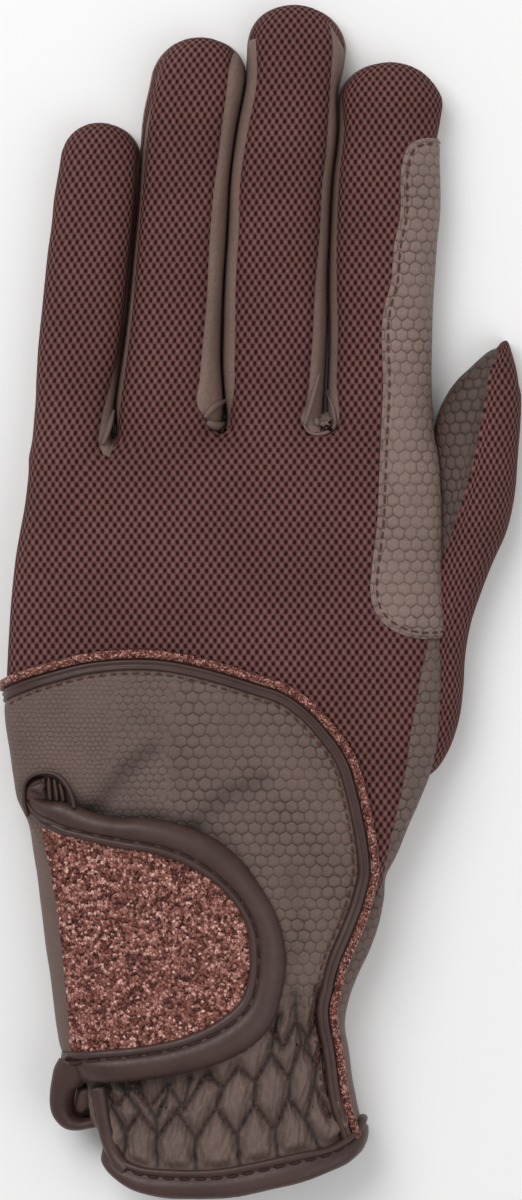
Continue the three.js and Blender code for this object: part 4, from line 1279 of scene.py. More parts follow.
@functools.lru_cache(maxsize=None)
def zones():
    """For each part of the skin, how far a place lies inside it."""
    lines = seams()
    arc, hem, slit, strip = (lines[k] for k in ("arc", "hem", "slit", "strip"))
    return {
        "wrist": field([*arc, (arc[-1][0], -FAR), (-FAR, -FAR), (-FAR, arc[0][1])]),
        "glove": field([*hem, (FAR, hem[-1][1]), (FAR, FAR), (-FAR, FAR), (-FAR, hem[0][1])]),
        "root": field([*slit, (slit[-1][0], -FAR), (-FAR, -FAR), (-FAR, slit[0][1])]),
        "strip": field([
            *strip, (FAR, strip[-1][1]), (FAR, -FAR), (-FAR, -FAR), (-FAR, strip[0][1]),
        ]),
        **{f"finger_{i}": field(lines[f"finger_{i}"]) for i in range(3)},
    }


@functools.lru_cache(maxsize=None)
def parts():
    """The skin of hand and fingers, parted along its seams."""
    skin, triangles, normals, _ = body()
    depth = zones()
    skin = np.hstack([skin, normals])
    for near in SEAM_GRAINS:
        away = np.full(len(skin), REACH)
        for key in ("wrist", "strip", "finger_0", "finger_1", "finger_2"):
            away = np.minimum(away, np.abs(depth[key](skin[:, :2])))
        away[(skin[:, 2] < SEAM_Z) | (skin[:, 5] < 0.25)] = REACH
        skin, triangles = refined(skin, triangles, away[triangles].min(axis=1) < near)

    def part(shell, key, keep):
        points, faces = shell
        return cut(points, faces, depth[key](points[:, :2]) * (1 if keep else -1))

    whole = part((skin, triangles), "glove", True)
    result = {"palm": cut(*whole, SEAM_Z - whole[0][:, 2])}
    back = cut(*whole, whole[0][:, 2] - SEAM_Z)
    wrist, back = part(back, "wrist", True), part(back, "wrist", False)
    root, result["wrist_panel"] = part(wrist, "root", True), part(wrist, "root", False)
    result["tab_root"] = cut(*root, root[0][:, 1] - TAB_ROOT_END)
    result["side_strip"], back = part(back, "strip", True), part(back, "strip", False)
    names = ("fourchette_little_ring", "fourchette_ring_middle", "fourchette_middle_index")
    for i, name in enumerate(names):
        result[name], back = part(back, f"finger_{i}", True), part(back, f"finger_{i}", False)
    result["back_panel"] = back
    return result


def raised(points, triangles, height):
    """Moves a skin along its normals by a function of place, and turns them to suit."""
    at, normals = points[:, :3], points[:, 3:6]
    e = 0.06
    slope = np.stack([
        (height(at + e * step) - height(at - e * step)) / (2 * e) for step in np.eye(3)
    ], axis=1)
    slope -= normals * (slope * normals).sum(axis=1)[:, None]
    turned_normals = normals - slope
    turned_normals /= np.linalg.norm(turned_normals, axis=1)[:, None]
    return np.hstack([at + normals * height(at)[:, None], turned_normals, points[:, 6:]]), triangles


def drawn_in(shell, depth, width, keys, side_seam=0.35):
    """Pulls a piece of skin in along its seams."""

    def height(at):
        pull = side_seam * np.exp(-((at[:, 2] - SEAM_Z) / 0.7) ** 2)
        for key in keys:
            away = distance_to(seams()[key], at[:, :2])
            pull = np.maximum(pull, depth * np.exp(-((away / width) ** 2)))
        return -pull

    return raised(*shell, height)


# Relief of the gathered cuff


def crease_distance(places):
    """Distance to the nearest zigzag or fold line of the cuff, for its relief and its painted shade."""
    nearest = np.full(len(places), 9.0)
    for row in (*ZIGZAGS, *CREASES):
        nearest = np.minimum(nearest, distance_to(np.asarray(row), places))
    return nearest


def cuff_relief(places):
    """How far the gathered leather stands up or draws in, in millimetres."""
    x, y = places.T
    gathered = rise(-70, -86, y)
    nearest = crease_distance(places)
    height = gathered * (2.1 * (1 - np.exp(-((nearest / 1.5) ** 2))) - 1.1)
    height += 0.12 * np.sin(x * 2.3 + 1.2 * np.sin(y * 0.9)) * np.sin(y * 1.1 + x * 0.4) * gathered
    height += gathered * 0.13 * np.sin(3.4 * x + 1.6 * np.sin(0.8 * y) + 0.5 * y)
    height += gathered * 0.09 * np.sin(5.6 * x - 1.3 * y + 2.0 * np.sin(0.6 * x + 0.4 * y))
    hem = np.array(HEM_RING)
    above = y - np.interp(x, hem[:, 0], hem[:, 1])
    pleats = np.exp(-((above / 3.0) ** 2))
    height += pleats * (0.3 * np.cos(x * TAU / 1.62 + 1.5 * np.sin(x * 0.7)) - 0.1)
    clear = rise(0.0, 2.0, above)
    return height * clear - 0.5 * (1 - clear)


def cuff_shade(places):
    """Painted shade on the leather, from 0 to 1: in the cuff's creases and zigzags, along the wrist's folds,
    and a painted shadow below the tab.
    """
    gathered = rise(-70, -84, places[:, 1])
    # Painted shade in the creases and zigzags of the gathered cuff and along the wrist's folds.
    shade = 0.95 * np.exp(-((crease_distance(places) / 0.55) ** 2)) * gathered + 0.6 * fold_depth(places)
    # Painted shadow below the tab's outer edge, fading out towards the thumb's side.
    below = distance_to(smooth_line(TAB_OUTER), places)
    return np.clip(shade + 0.8 * np.exp(-((below / 2.0) ** 2)) * rise(6, -20, places[:, 0]), 0, 1)


def fold_depth(places):
    """How deep the wrist's broad soft folds are."""
    depth = np.zeros(len(places))
    for line, deep in WRIST_FOLDS:
        depth += deep * np.exp(-((distance_to(smooth_line(line), places) / 2.0) ** 2))
    return depth


def wrist_relief(places):
    """Relief of the whole wrist panel."""
    away = distance_to(seams()["arc"], places)
    return cuff_relief(places) + 0.3 * rise(3.2, 4.6, away) - fold_depth(places)


# Looks and sizes that a user would change


def colour(name, description, red, green, blue):
    """A colour property with its default from everyday numbers."""
    return FloatVectorProperty(
        name=name, description=description, subtype="COLOR", size=3, min=0, max=1,
        default=srgb(red, green, blue),
    )


def length(name, description, default):
    """A length in millimetres."""
    return FloatProperty(name=name, description=description, default=default, min=0, unit="NONE")


class GLOVE_PG_look(PropertyGroup):
    """Colours and patterns of the glove's cloths and leathers."""

    hole_pitch: length("Hole pitch", "Across two mesh holes, mm", 1.66)
    hole_row: length("Hole row", "Along two mesh holes, mm", 2.3)
    scale_pitch: length("Scale pitch", "Across a leather scale, mm", 2.45)
    cloth: colour("Cloth", "Thread of the mesh cloth", 91, 57, 54)
    cloth_light: colour("Cloth light", "Where the mesh stands up", 134, 98, 95)
    cloth_dark: colour("Cloth dark", "Between the threads", 42, 13, 11)
    # The leathers' dark colours serve their grain and pores and also the painted shade in the grooves
    # between the scales and on each scale's lower part.
    patch: colour("Patch", "Scales of the index patch", 140, 119, 111)
    patch_dark: colour("Patch dark", "Between the patch's scales", 76, 58, 52)
    leather: colour("Leather", "Scales of the wrist", 115, 95, 88)
    leather_dark: colour("Leather dark", "Between the wrist's scales", 56, 41, 36)
    finger: colour("Finger leather", "Leather between the fingers", 130, 107, 98)
    finger_dark: colour("Finger leather dark", "Between its scales", 76, 58, 51)
    binding: colour("Binding", "Bound edges", 77, 53, 48)
    binding_dark: colour("Binding dark", "Bound edges in their pores", 60, 40, 36)
    glitter: colour("Glitter", "Most of the glitter", 110, 62, 53)
    glitter_dark: colour("Glitter dark", "Between the flakes", 38, 10, 7)
    # The bright flake colours are partly the flakes' own random tone and partly painted glints; the
    # brightest is a painted glint.
    glitter_light: colour("Glitter light", "Bright flakes", 168, 112, 100)
    painted_glint: colour("Sparkle", "The brightest flakes", 240, 198, 186)
    thread: colour("Thread", "Sewing thread", 104, 58, 50)
    thread_dark: colour("Thread dark", "Twist of the thread", 62, 30, 26)
    # Nearly black: dark thread, and painted shade of the grooves the stitches sit in.
    gap: colour("Thread gap", "Dark thread of the bound edges", 30, 19, 18)
    thumb: colour("Thumb leather", "Scales of the thumb's front", 90, 72, 66)
    thumb_dark: colour("Thumb leather dark", "Between its scales", 52, 40, 37)
    tape: colour("Hook tape", "Closure tape", 43, 35, 32)
    tape_light: colour("Hook tape light", "Tips of the hooks", 82, 70, 64)
    paper: colour("Paper", "What the glove lies on", 250, 250, 250)


class GLOVE_PG_sizes(PropertyGroup):
    """Sizes of the sewn details."""

    wall: length("Wall", "Thickness of cloth and leather, mm", 1.2)
    patch_rise: length("Patch rise", "How far the index patch stands up, mm", 0.9)
    seam_depth: length("Seam depth", "How far seams draw the skin in, mm", 0.45)
    piping_width: length("Piping width", "Across the glitter piping, mm", 1.75)
    panel_lift: length("Tab lift", "From the wrist to the tab's glitter, mm", 2.1)
    stitch: length("Stitch", "Length of a stitch, mm", 1.7)
    stitch_gap: length("Stitch gap", "From one stitch to the next, mm", 2.3)
    stitch_width: length("Stitch width", "Across the thread, mm", 0.42)


class GLOVE_PG_stage(PropertyGroup):
    """Camera and light."""

    height: FloatProperty(name="Height", description="Camera over the glove", default=1.208, unit="LENGTH")
    lens: FloatProperty(name="Lens", description="Focal length, mm", default=180, min=1)
    key: FloatProperty(name="Key", description="Power of the main light", default=6.1, min=0)
    fill: FloatProperty(name="Fill", description="Power of the second light", default=2.3, min=0)
    sky: FloatProperty(name="Sky", description="Light from all around", default=0.46, min=0)


# Stitches


def stitch_tree():
    """A node tree that lays stitches along the edges it is given."""
    tree = bpy.data.node_groups.new("stitch_row", "GeometryNodeTree")
    face = tree.interface
    face.new_socket("Geometry", in_out="INPUT", socket_type="NodeSocketGeometry")
    for name in ("Gap", "Length", "Width"):
        face.new_socket(name, in_out="INPUT", socket_type="NodeSocketFloat")
    face.new_socket("Thread", in_out="INPUT", socket_type="NodeSocketMaterial")
    face.new_socket("Geometry", in_out="OUTPUT", socket_type="NodeSocketGeometry")
    nodes = tree.nodes
    given, out = nodes.new("NodeGroupInput"), nodes.new("NodeGroupOutput")
    curve = nodes.new("GeometryNodeMeshToCurve")
    places = nodes.new("GeometryNodeCurveToPoints")
    places.mode = "LENGTH"
    turn = nodes.new("FunctionNodeAlignRotationToVector")
    turn.axis = "X"
    stitch = nodes.new("GeometryNodeMeshUVSphere")
    for name, value in (("Segments", 8), ("Rings", 6), ("Radius", 0.5)):
        stitch.inputs[name].default_value = value
    size = nodes.new("ShaderNodeCombineXYZ")
    lay = nodes.new("GeometryNodeInstanceOnPoints")
    real = nodes.new("GeometryNodeRealizeInstances")
    material = nodes.new("GeometryNodeSetMaterial")
    for source, output, target, given_to in (
        (given, "Geometry", curve, "Mesh"),
        (curve, "Curve", places, "Curve"),
        (given, "Gap", places, "Length"),
        (places, "Tangent", turn, "Vector"),
        (given, "Length", size, "X"),
        (given, "Width", size, "Y"),
        (given, "Width", size, "Z"),
        (places, "Points", lay, "Points"),
        (stitch, "Mesh", lay, "Instance"),
        (turn, "Rotation", lay, "Rotation"),
        (size, "Vector", lay, "Scale"),
        (lay, "Instances", real, "Geometry"),
        (real, "Geometry", material, "Geometry"),
        (given, "Thread", material, "Material"),
        (material, "Geometry", out, "Geometry"),
    ):
        tree.links.new(source.outputs[output], target.inputs[given_to])
    return tree


def stitch_rows(name, rows, slot, gap=None, length=None, width=None, finish="thread"):
    """A piece of stitches along rows of points in space."""
    sizes = bpy.context.scene.glove_sizes
    tree = bpy.data.node_groups.get("stitch_row") or stitch_tree()
    points, edges, start = [], [], 0
    for row in rows:
        points.append(row)
        edges += [(start + k, start + k + 1) for k in range(len(row) - 1)]
        start += len(row)
    mesh = bpy.data.meshes.new(name)
    mesh.from_pydata(((np.vstack(points) + SHIFT) * MM).tolist(), edges, [])
    piece = added(name, mesh)
    modifier = piece.modifiers.new("stitches", "NODES")
    modifier.node_group = tree
    sockets = {s.name: s.identifier for s in tree.interface.items_tree if s.in_out == "INPUT"}
    modifier[sockets["Gap"]] = (gap or sizes.stitch_gap) * MM
    modifier[sockets["Length"]] = (length or sizes.stitch) * MM
    modifier[sockets["Width"]] = (width or sizes.stitch_width) * MM
    modifier[sockets["Thread"]] = finish_named(finish)
    plain = evaluated_mesh(piece)
    piece.modifiers.clear()
    piece.data = plain
    plain.name = name
    plain.shade_smooth()
    return settle_piece(piece, slot)


# Operators


class GLOVE_OT_skin(Operator):
    """Make the mesh back, the leather palm and the leather between the fingers"""

    bl_idname = "glove.skin"
    bl_label = "Back, palm and fourchettes"

    def execute(self, context):
        sizes = context.scene.glove_sizes
        shells = parts()
        fingers = ("finger_0", "finger_1", "finger_2")
        edges = ("arc", "strip", *fingers)
        finish = {
            "back_panel": ("mesh_cloth", "mesh_cloth", edges),
            "palm": ("finger_leather", "embossed_leather", ()),
            "side_strip": ("wrist_leather", "embossed_leather", ("arc", "strip")),
            "tab_root": ("root_leather", "embossed_leather", ()),
            "fourchette_little_ring": ("finger_leather", "embossed_leather", fingers),
            "fourchette_ring_middle": ("finger_leather", "embossed_leather", fingers),
            "fourchette_middle_index": ("finger_leather", "embossed_leather", fingers),
        }
        for name, (look, slot, keys) in finish.items():
            shell = drawn_in(shells[name], sizes.seam_depth, 0.8, keys)
            piece = skin_piece(f"{name}_skin", *shell, look, sizes.wall)
            settle_piece(piece, slot, name)
        return {"FINISHED"}


class GLOVE_OT_crotches(Operator):
    """Make the rolled leather edges where the fingers part"""

    bl_idname = "glove.crotches"
    bl_label = "Rolled edges between fingers"

    def execute(self, context):
        bodies = []
        for line, width in CROTCH_ROLLS:
            points, normals = laid(smooth_line(line, 0.4), -0.35 * width)
            share = 0.45 + 0.55 * np.sin(np.linspace(0.05, 0.95, len(points)) * math.pi)
            bodies.append(tapered(*swept(points, normals, rounded(width, width)), points, share))
        piece = solid_piece("crotch_rolls", bodies, "root_leather")
        settle_piece(piece, "embossed_leather")
        return {"FINISHED"}


class GLOVE_OT_wrist(Operator):
    """Make the wrist's leather with its folds and the gathers of the cuff"""

    bl_idname = "glove.wrist"
    bl_label = "Wrist and gathers"

    def execute(self, context):
        sizes = context.scene.glove_sizes
        points, triangles = merged(*parts()["wrist_panel"])
        points, triangles = refined(points, triangles, points[triangles[:, 0], 1] < -68)
        points, triangles = drawn_in((points, triangles), 0.3, 0.8, ("arc",))
        points, triangles = raised(
            points, triangles, lambda at: wrist_relief(at[:, :2]) * rise(SEAM_Z, 7.0, at[:, 2]),
        )
        # Painted shade in the cuff's creases and the wrist's folds, and a painted shadow below the tab,
        # carried on the points.
        shade = cuff_shade(points[:, :2])
        piece = skin_piece("wrist_panel_skin", points, triangles, "wrist_leather", sizes.wall, shade)
        settle_piece(piece, "embossed_leather", "wrist_panel")
        return {"FINISHED"}


class GLOVE_OT_thumb(Operator):
    """Make the thumb: leather in front, mesh cloth behind"""

    bl_idname = "glove.thumb"
    bl_label = "Thumb"

    def execute(self, context):
        sizes = context.scene.glove_sizes
        skin, triangles = thumb()
        normals = corner_normals(skin, triangles)
        tree = body()[3]
        outside = np.empty(len(skin))
        for k, point in enumerate(skin):
            near, normal, _, _ = tree.find_nearest(Vector(point))
            outside[k] = (Vector(point) - near).dot(normal)
        points, triangles = cut(np.hstack([skin, normals]), triangles, outside + 0.8)
        seam = seams()["thumb"]
        front = field([*seam, (-FAR, seam[-1][1]), (-FAR, seam[0][1])])
        for near in SEAM_GRAINS:
            away = np.abs(front(points[:, :2]))
            points, triangles = refined(points, triangles, away[triangles].min(axis=1) < near)
        depth = front(points[:, :2])
        for name, look, slot, side in (
            ("thumb_palm", "thumb_leather", "embossed_leather", 1),
            ("thumb_back", "mesh_cloth", "mesh_cloth", -1),
        ):
            half = cut(points, triangles, side * depth)
            half = drawn_in(half, 0.4, 0.8, ("thumb",), 0)
            settle_piece(skin_piece(f"{name}_skin", *half, look, sizes.wall), slot, name)
        return {"FINISHED"}


class GLOVE_OT_patch(Operator):
    """Make the leather patch on the index finger"""

    bl_idname = "glove.patch"
    bl_label = "Index patch"

    def execute(self, context):
        sizes = context.scene.glove_sizes
        skin, triangles, normals, _ = body()
        inside = field(seams()["patch"])
        points = np.hstack([skin, normals])
        points, triangles = refined(points, triangles, inside(points[:, :2])[triangles].max(axis=1) > -1)
        points, triangles = cut(points, triangles, inside(points[:, :2]))
        points, triangles = cut(points, triangles, points[:, 2] - SEAM_Z)

        def height(at):
            away = distance_to(seams()["patch"], at[:, :2])
            up = sizes.patch_rise * (0.3 + 0.7 * rise(0, 0.7, away))
            return up - 0.28 * np.exp(-(((away - 1.2) / 0.4) ** 2))

        points, triangles = raised(points, triangles, height)
        piece = skin_piece("index_patch_skin", points, triangles, "patch_leather", 0.9)
        settle_piece(piece, "embossed_leather", "index_patch")
        return {"FINISHED"}


class GLOVE_OT_trim(Operator):
    """Make the glitter piping and the double welt beside it"""

    bl_idname = "glove.trim"
    bl_label = "Piping and welt"

    def execute(self, context):
        sizes = context.scene.glove_sizes
        line = seams()["arc"]
        left = side_at(LEFT_SIDE, line[:, 1])
        line = line[(line[:, 0] > left + 0.35) & (line[:, 1] > PIPING_END)]
        path, normals = laid(line)
        start = path[0]
        tree = body()[3]
        down = []
        for z in (SEAM_Z + 0.5, (SEAM_Z + start[2]) / 2):
            down.append(tree.find_nearest(Vector((start[0] - 4, start[1] - 0.6, z)))[0])
        path = np.vstack([down, path])
        normals = np.vstack([[(-0.98, 0, 0.2)], [(-0.85, 0, 0.5)], normals])
        width = sizes.piping_width
        cord = swept(path + normals * 0.25, normals, rounded(width, width * 0.95, 14, 0.15))
        piece = solid_piece("piping_cord", [cord], "glitter_cord")
        settle_piece(piece, "glitter_cloth", "piping")
        near, far = width / 2 + 0.15, width / 2 + 2.35
        middle = (near + far) / 2
        ridges = [
            (near, -0.3), (near, 0.55), (near + 0.2, 0.85), (near + 0.5, 0.98), (near + 0.8, 0.8),
            (middle, 0.42), (far - 0.75, 0.78), (far - 0.5, 0.92), (far - 0.2, 0.75), (far, 0.4),
            (far + 0.1, -0.3),
        ]
        welt = swept(path, normals, ridges)
        settle_piece(solid_piece("welt_ridges", [welt], "smooth_leather"), "smooth_leather", "welt")
        return {"FINISHED"}


class GLOVE_OT_tab(Operator):
    """Make the closure tab: its glitter panel and its bound edge"""

    bl_idname = "glove.tab"
    bl_label = "Closure tab"

    def execute(self, context):
        sizes = context.scene.glove_sizes
        inner, outer = smooth_line(TAB_INNER), smooth_line(TAB_OUTER)
        left = smooth_line(TAB_LEFT)
        outline = np.vstack([beside(inner, -0.9), left[::-1] - (0.6, 0)])
        low, high = outline.min(axis=0) - 1, outline.max(axis=0) + 1
        xs, ys = np.arange(low[0], high[0], 0.6), np.arange(low[1], high[1], 0.6)
        grid = np.stack(np.meshgrid(xs, ys), axis=-1).reshape(-1, 2)
        found = dropped(grid)[0].reshape(len(ys), len(xs), 3)
        for _ in range(10):
            found[1:-1, 1:-1, 2] = (
                found[:-2, 1:-1, 2] + found[2:, 1:-1, 2] + found[1:-1, :-2, 2] + found[1:-1, 2:, 2]
            ) / 4
        points = np.column_stack([grid, found[:, :, 2].ravel() + sizes.panel_lift])
        a = (np.arange(len(ys) - 1)[:, None] * len(xs) + np.arange(len(xs) - 1)).ravel()
        squares = np.stack([a, a + 1, a + len(xs) + 1, a + len(xs)], axis=1)
        triangles = np.vstack([squares[:, (0, 1, 2)], squares[:, (0, 2, 3)]])
        inside = field(outline)
        points = np.hstack([points, corner_normals(points, triangles)])
        points, triangles = cut(points, triangles, inside(points[:, :2]))
        panel = skin_piece("tab_panel_skin", points, triangles, "glitter_cloth", 1.0)
        settle_piece(panel, "glitter_cloth", "tab_panel")
        profile = [
            (-0.02, 1.3), (-0.01, 2.5), (0.04, 3.0), (0.12, 3.15), (0.18, 3.0), (0.225, 2.6), (0.25, 2.5),
            (0.275, 2.65), (0.33, 3.1), (0.42, 3.4), (0.55, 3.5), (0.7, 3.35), (0.83, 2.9), (0.93, 2.2),
            (0.99, 1.4), (1.0, 0.8), (0.97, 0.3), (0.5, 0.2), (0.1, 0.2),
        ]
        edge = band(inner, outer, profile, count=220, full=6.0)
        piece = solid_piece("tab_binding_roll", [edge, *curl_bodies(), *loop_bodies()], "smooth_leather")
        settle_piece(piece, "smooth_leather", "tab_binding")
        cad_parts["tab_fastener"].data.materials.clear()
        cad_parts["tab_fastener"].data.materials.append(finish_named("hook_tape"))
        return {"FINISHED"}


def upright(flat, low, high, width):
    """A thin upright wall along a flat line, rounded on top."""
    points = laid(flat)[0] + (0, 0, low)
    normals = np.tile((0.0, 0.0, 1.0), (len(points), 1))
    half, tall = width / 2, high - low
    profile = [
        (-half, 0), (-half, tall - half), (-half * 0.6, tall),
        (half * 0.6, tall), (half, tall - half), (half, 0),
    ]
    return swept(points, normals, profile)


def pillow(outline, low, high, plump=0.6):
    """A flat shape with a rounded top, between two levels."""
    outline = smooth_line([*outline, outline[0]], 0.6)[:-1]
    middle = outline.mean(axis=0)
    rings = []
    for share, up in ((1, 0), (1, plump), (0.9, 0.85), (0.7, 0.96), (0.35, 1)):
        flat = (outline - middle) * share + middle
        rings.append(np.column_stack([flat, np.full(len(flat), low + (high - low) * up)]))
    return loft(rings)


def curl_bodies():
    """The rim, floor, folds and flap of the curl at the tab's upper root."""
    level = laid(np.array(CURL_FLOOR))[0][:, 2].mean()
    rim = upright(smooth_line(CURL, 0.4), -1.0, 3.1, 0.75)
    bodies = [rim, pillow(CURL_FLOOR, level - 1, level + 0.9)]
    for fold in CURL_FOLDS:
        points, normals = laid(smooth_line(fold, 0.3), 0.7)
        share = np.sin(np.linspace(0.2, 0.8, len(points)) * math.pi)
        bodies.append(tapered(*swept(points, normals, rounded(0.95, 1.5)), points, share))
    bodies.append(pillow(CURL_FLAP, level, level + 2.9, 0.8))
    return bodies


def loop_bodies():
    """The bound edge that loops back below the tab's lower root, and what it frames."""
    outer, inner = smooth_line(LOOP_OUTER), smooth_line(LOOP_INNER)
    count = 60
    level = through([0, 0.25, 0.6, 1], [13.5, 12.0, 9.0, 8.2], np.linspace(0, 1, count))
    bed = np.repeat(level[:, None], 7, axis=1)
    profile = [
        (0.02, -0.6), (0, 0.4), (0.08, 1.1), (0.24, 1.6), (0.45, 1.8), (0.66, 1.55), (0.84, 0.9),
        (0.97, -0.2), (1.0, -1.2), (0.9, -2.1), (0.5, -2.4), (0.12, -1.8),
    ]
    edge = band(outer, inner, profile, bed, count)
    return [edge, pillow(LOOP_TONGUE, 5.0, 10.6), pillow(LOOP_POCKET, 4.0, 6.0)]


class GLOVE_OT_hem(Operator):
    """Make the binding round the cuff's opening and beside its slit"""

    bl_idname = "glove.hem"
    bl_label = "Cuff binding"

    def execute(self, context):
        profile = [
            (6.4, 0.2), (6.5, 0.8), (6.2, 1.35), (5.7, 1.5), (5.2, 1.35), (4.85, 1.0), (4.5, 0.85),
            (4.15, 1.1), (3.5, 1.5), (2.5, 1.65), (1.5, 1.6), (0.7, 1.3), (0.1, 0.7), (-0.1, 0.0),
            (0.0, -0.9), (0.3, -1.8), (1.0, -2.5), (3.0, -2.6), (5.6, -2.5), (5.9, -1.6), (5.9, -1.3),
        ]
        outer, upper = (resample(smooth_line(k), 300) for k in (HEM_LOWER, HEM_RING))
        angle = np.linspace(0, TAU, 300, endpoint=False)
        across = np.sign(np.cos(angle)) * np.abs(np.cos(angle)) ** (2 / HAND_SQUARENESS)
        rings = []
        for inset, grow in profile:
            line = outer + (upper - outer) * inset / HEM_WIDTH
            left, right = side_at(LEFT_SIDE, line[:, 1]), side_at(RIGHT_SIDE, line[:, 1])
            share = (2 * line[:, 0] - left - right) / (right - left)
            share = np.maximum.accumulate(share) + 1e-6 * np.arange(len(share))
            ring = hand_ring(angle, np.interp(across, share, line[:, 1]), grow)
            ring[:, 0] += SLIT_TUCK * (ring[:, 0] < 0) * rise(*SLIT_TUCK_ROWS, ring[:, 1])
            rings.append(ring)
        rows = np.array(rings)
        count = len(angle)
        faces = []
        for r in range(len(profile)):
            a = r * count + np.arange(count)
            b = r * count + (np.arange(count) + 1) % count
            turn = ((r + 1) % len(profile)) * count
            c = turn + (np.arange(count) + 1) % count
            faces += np.stack([a, b, c, turn + np.arange(count)], axis=1).tolist()
        outer, inner = (resample(smooth_line(line), 60) for line in SLIT_EDGE)
        level = laid(inner)[0][:, 2:] - 1.5
        path = np.hstack([(outer + inner) / 2, level])
        slit = swept(path, np.tile((0.0, 0.0, 1.0), (60, 1)), rounded(3.0, 2.8))
        piece = solid_piece("cuff_binding_fold", [(rows.reshape(-1, 3), faces), slit], "smooth_leather")
        settle_piece(piece, "smooth_leather", "cuff_binding")
        return {"FINISHED"}


def hand_ring(angle, y, grow):
    """Points round the hand's section, each at its own place along the hand."""
    top = hand_row((y - HEM_Y) / PALM_LENGTH)[2]
    left, right = side_at(LEFT_SIDE, y), side_at(RIGHT_SIDE, y)
    half, high, low = (right - left) / 2 + grow, top + grow, -REST_DEPTH - grow
    c, s = np.cos(angle), np.sin(angle)
    x = (left + right) / 2 + half * np.sign(c) * np.abs(c) ** (2 / HAND_SQUARENESS)
    z = (high + low) / 2 + (high - low) / 2 * np.sign(s) * np.abs(s) ** (2 / HAND_SQUARENESS)
    floor = 0.0 if grow >= 0 else -grow
    z = floor + ((z - floor) + np.sqrt((z - floor) ** 2 + 0.1)) / 2
    return np.stack([x, y, z], axis=1)


class GLOVE_OT_stitches(Operator):
    """Sew the seams, the patch, the tab, the hem and the gathers"""

    bl_idname = "glove.stitches"
    bl_label = "Stitches"

    def execute(self, context):
        lines = seams()
        patch = lines["patch"]
        inside = field(patch)
        edge = beside(patch, -1.2)
        edge = edge[(inside(edge) > 1.0) & (edge[:, 0] < side_at(RIGHT_SIDE, edge[:, 1]) - 0.5)]
        stitch_rows("patch_stitches", [laid(edge, 0.75)[0]], "embossed_leather")
        arc = beside(lines["arc"], 3.9)
        arc = arc[(arc[:, 0] > side_at(LEFT_SIDE, arc[:, 1]) + 1) & (arc[:, 1] > -102)]
        stitch_rows("arc_stitches", [laid(arc, 0.2)[0]], "embossed_leather", 2.2, 1.5, 0.5)
        inner, outer = (resample(smooth_line(k), 200) for k in (TAB_INNER, TAB_OUTER))
        groove = inner + (outer - inner) * 0.25
        row = laid(groove, 2.55)[0]
        row = row[14:-4]
        stitch_rows("tab_stitches", [row], "smooth_leather", 4.0, 3.3, 0.75, "dark_thread_and_groove_shade")
        lower, upper = (resample(smooth_line(k), 200) for k in (HEM_LOWER, HEM_RING))
        row = lower + (upper - lower) * 0.69
        row = row[(row[:, 0] > -27) & (row[:, 0] < 17.5)]
        stitch_rows("hem_stitches", [laid(row, 1.0)[0]], "smooth_leather", 3.0, 2.5, 0.65, "dark_thread_and_groove_shade")
        rows = []
        for zigzag in ZIGZAGS:
            flat = resample(np.asarray(zigzag), 400)
            points, normals = laid(flat)
            rows.append(points + normals * (cuff_relief(flat)[:, None] + 0.12))
        stitch_rows("cuff_stitches", rows, "embossed_leather", 1.5, 1.15, 0.6)
        return {"FINISHED"}


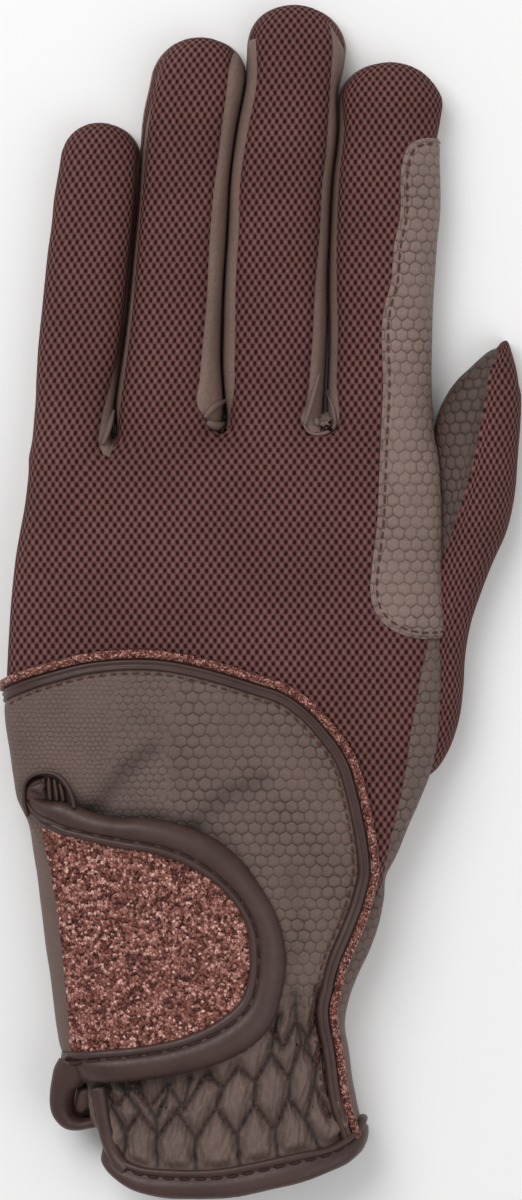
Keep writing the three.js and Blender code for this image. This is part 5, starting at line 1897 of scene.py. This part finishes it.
class GLOVE_OT_stage(Operator):
    """Set up the paper, the light and the camera"""

    bl_idname = "glove.stage"
    bl_label = "Stage"

    def execute(self, context):
        stage = context.scene.glove_stage
        half, level = 2000, -0.1
        corners = np.array([
            (-half, -half, level), (half, -half, level), (half, half, level), (-half, half, level),
        ])
        paper = added("paper", mesh_of("paper", corners, [(0, 1, 2, 3)]))
        paper.data.materials.append(finish_named("stage_paper"))
        for name, power, place, size in (
            ("key_light", stage.key, (-0.42, 0.5, 0.85), 0.7),
            ("fill_light", stage.fill, (0.6, -0.3, 0.8), 0.9),
        ):
            light = bpy.data.lights.new(name, "AREA")
            light.energy = power
            light.size = size
            lamp = added(name, light)
            lamp.location = place
            lamp.rotation_euler = (-Vector(place)).to_track_quat("-Z", "Y").to_euler()
        world = bpy.data.worlds.new("studio")
        world.use_nodes = True
        light = world.node_tree.nodes["Background"].inputs
        light["Color"].default_value = (1, 1, 1, 1)
        light["Strength"].default_value = stage.sky
        context.scene.world = world
        camera = bpy.data.cameras.new("camera")
        camera.lens = stage.lens
        camera.sensor_width = 36
        eye = added("camera", camera)
        eye.location = (SHIFT[0] * MM, SHIFT[1] * MM, stage.height)
        context.scene.camera = eye
        context.scene.view_settings.view_transform = "Standard"
        return {"FINISHED"}


OPERATORS = (
    GLOVE_OT_stage, GLOVE_OT_skin, GLOVE_OT_crotches, GLOVE_OT_wrist, GLOVE_OT_thumb,
    GLOVE_OT_patch, GLOVE_OT_trim, GLOVE_OT_tab, GLOVE_OT_hem, GLOVE_OT_stitches,
)


class GLOVE_PT_panel(Panel):
    """Steps that dress the glove."""

    bl_label = "Riding glove"
    bl_idname = "GLOVE_PT_panel"
    bl_space_type = "VIEW_3D"
    bl_region_type = "UI"
    bl_category = "Glove"

    def draw(self, context):
        for operator in OPERATORS:
            self.layout.operator(operator.bl_idname)
        for group in ("glove_sizes", "glove_look", "glove_stage"):
            box = self.layout.box()
            values = getattr(context.scene, group)
            for name in values.__annotations__:
                box.prop(values, name)


CLASSES = (GLOVE_PG_look, GLOVE_PG_sizes, GLOVE_PG_stage, *OPERATORS, GLOVE_PT_panel)


def register():
    """Registers the classes and the scene's settings."""
    for cls in CLASSES:
        bpy.utils.register_class(cls)
    bpy.types.Scene.glove_look = PointerProperty(type=GLOVE_PG_look)
    bpy.types.Scene.glove_sizes = PointerProperty(type=GLOVE_PG_sizes)
    bpy.types.Scene.glove_stage = PointerProperty(type=GLOVE_PG_stage)


def unregister():
    """Takes the classes and settings away again."""
    del bpy.types.Scene.glove_look
    del bpy.types.Scene.glove_sizes
    del bpy.types.Scene.glove_stage
    for cls in reversed(CLASSES):
        bpy.utils.unregister_class(cls)


def main():
    """Dresses the glove."""
    register()
    bpy.ops.glove.stage()
    bpy.ops.glove.skin()
    bpy.ops.glove.crotches()
    bpy.ops.glove.wrist()
    bpy.ops.glove.thumb()
    bpy.ops.glove.patch()
    bpy.ops.glove.trim()
    bpy.ops.glove.tab()
    bpy.ops.glove.hem()
    bpy.ops.glove.stitches()


if __name__ == "__main__":
    main()
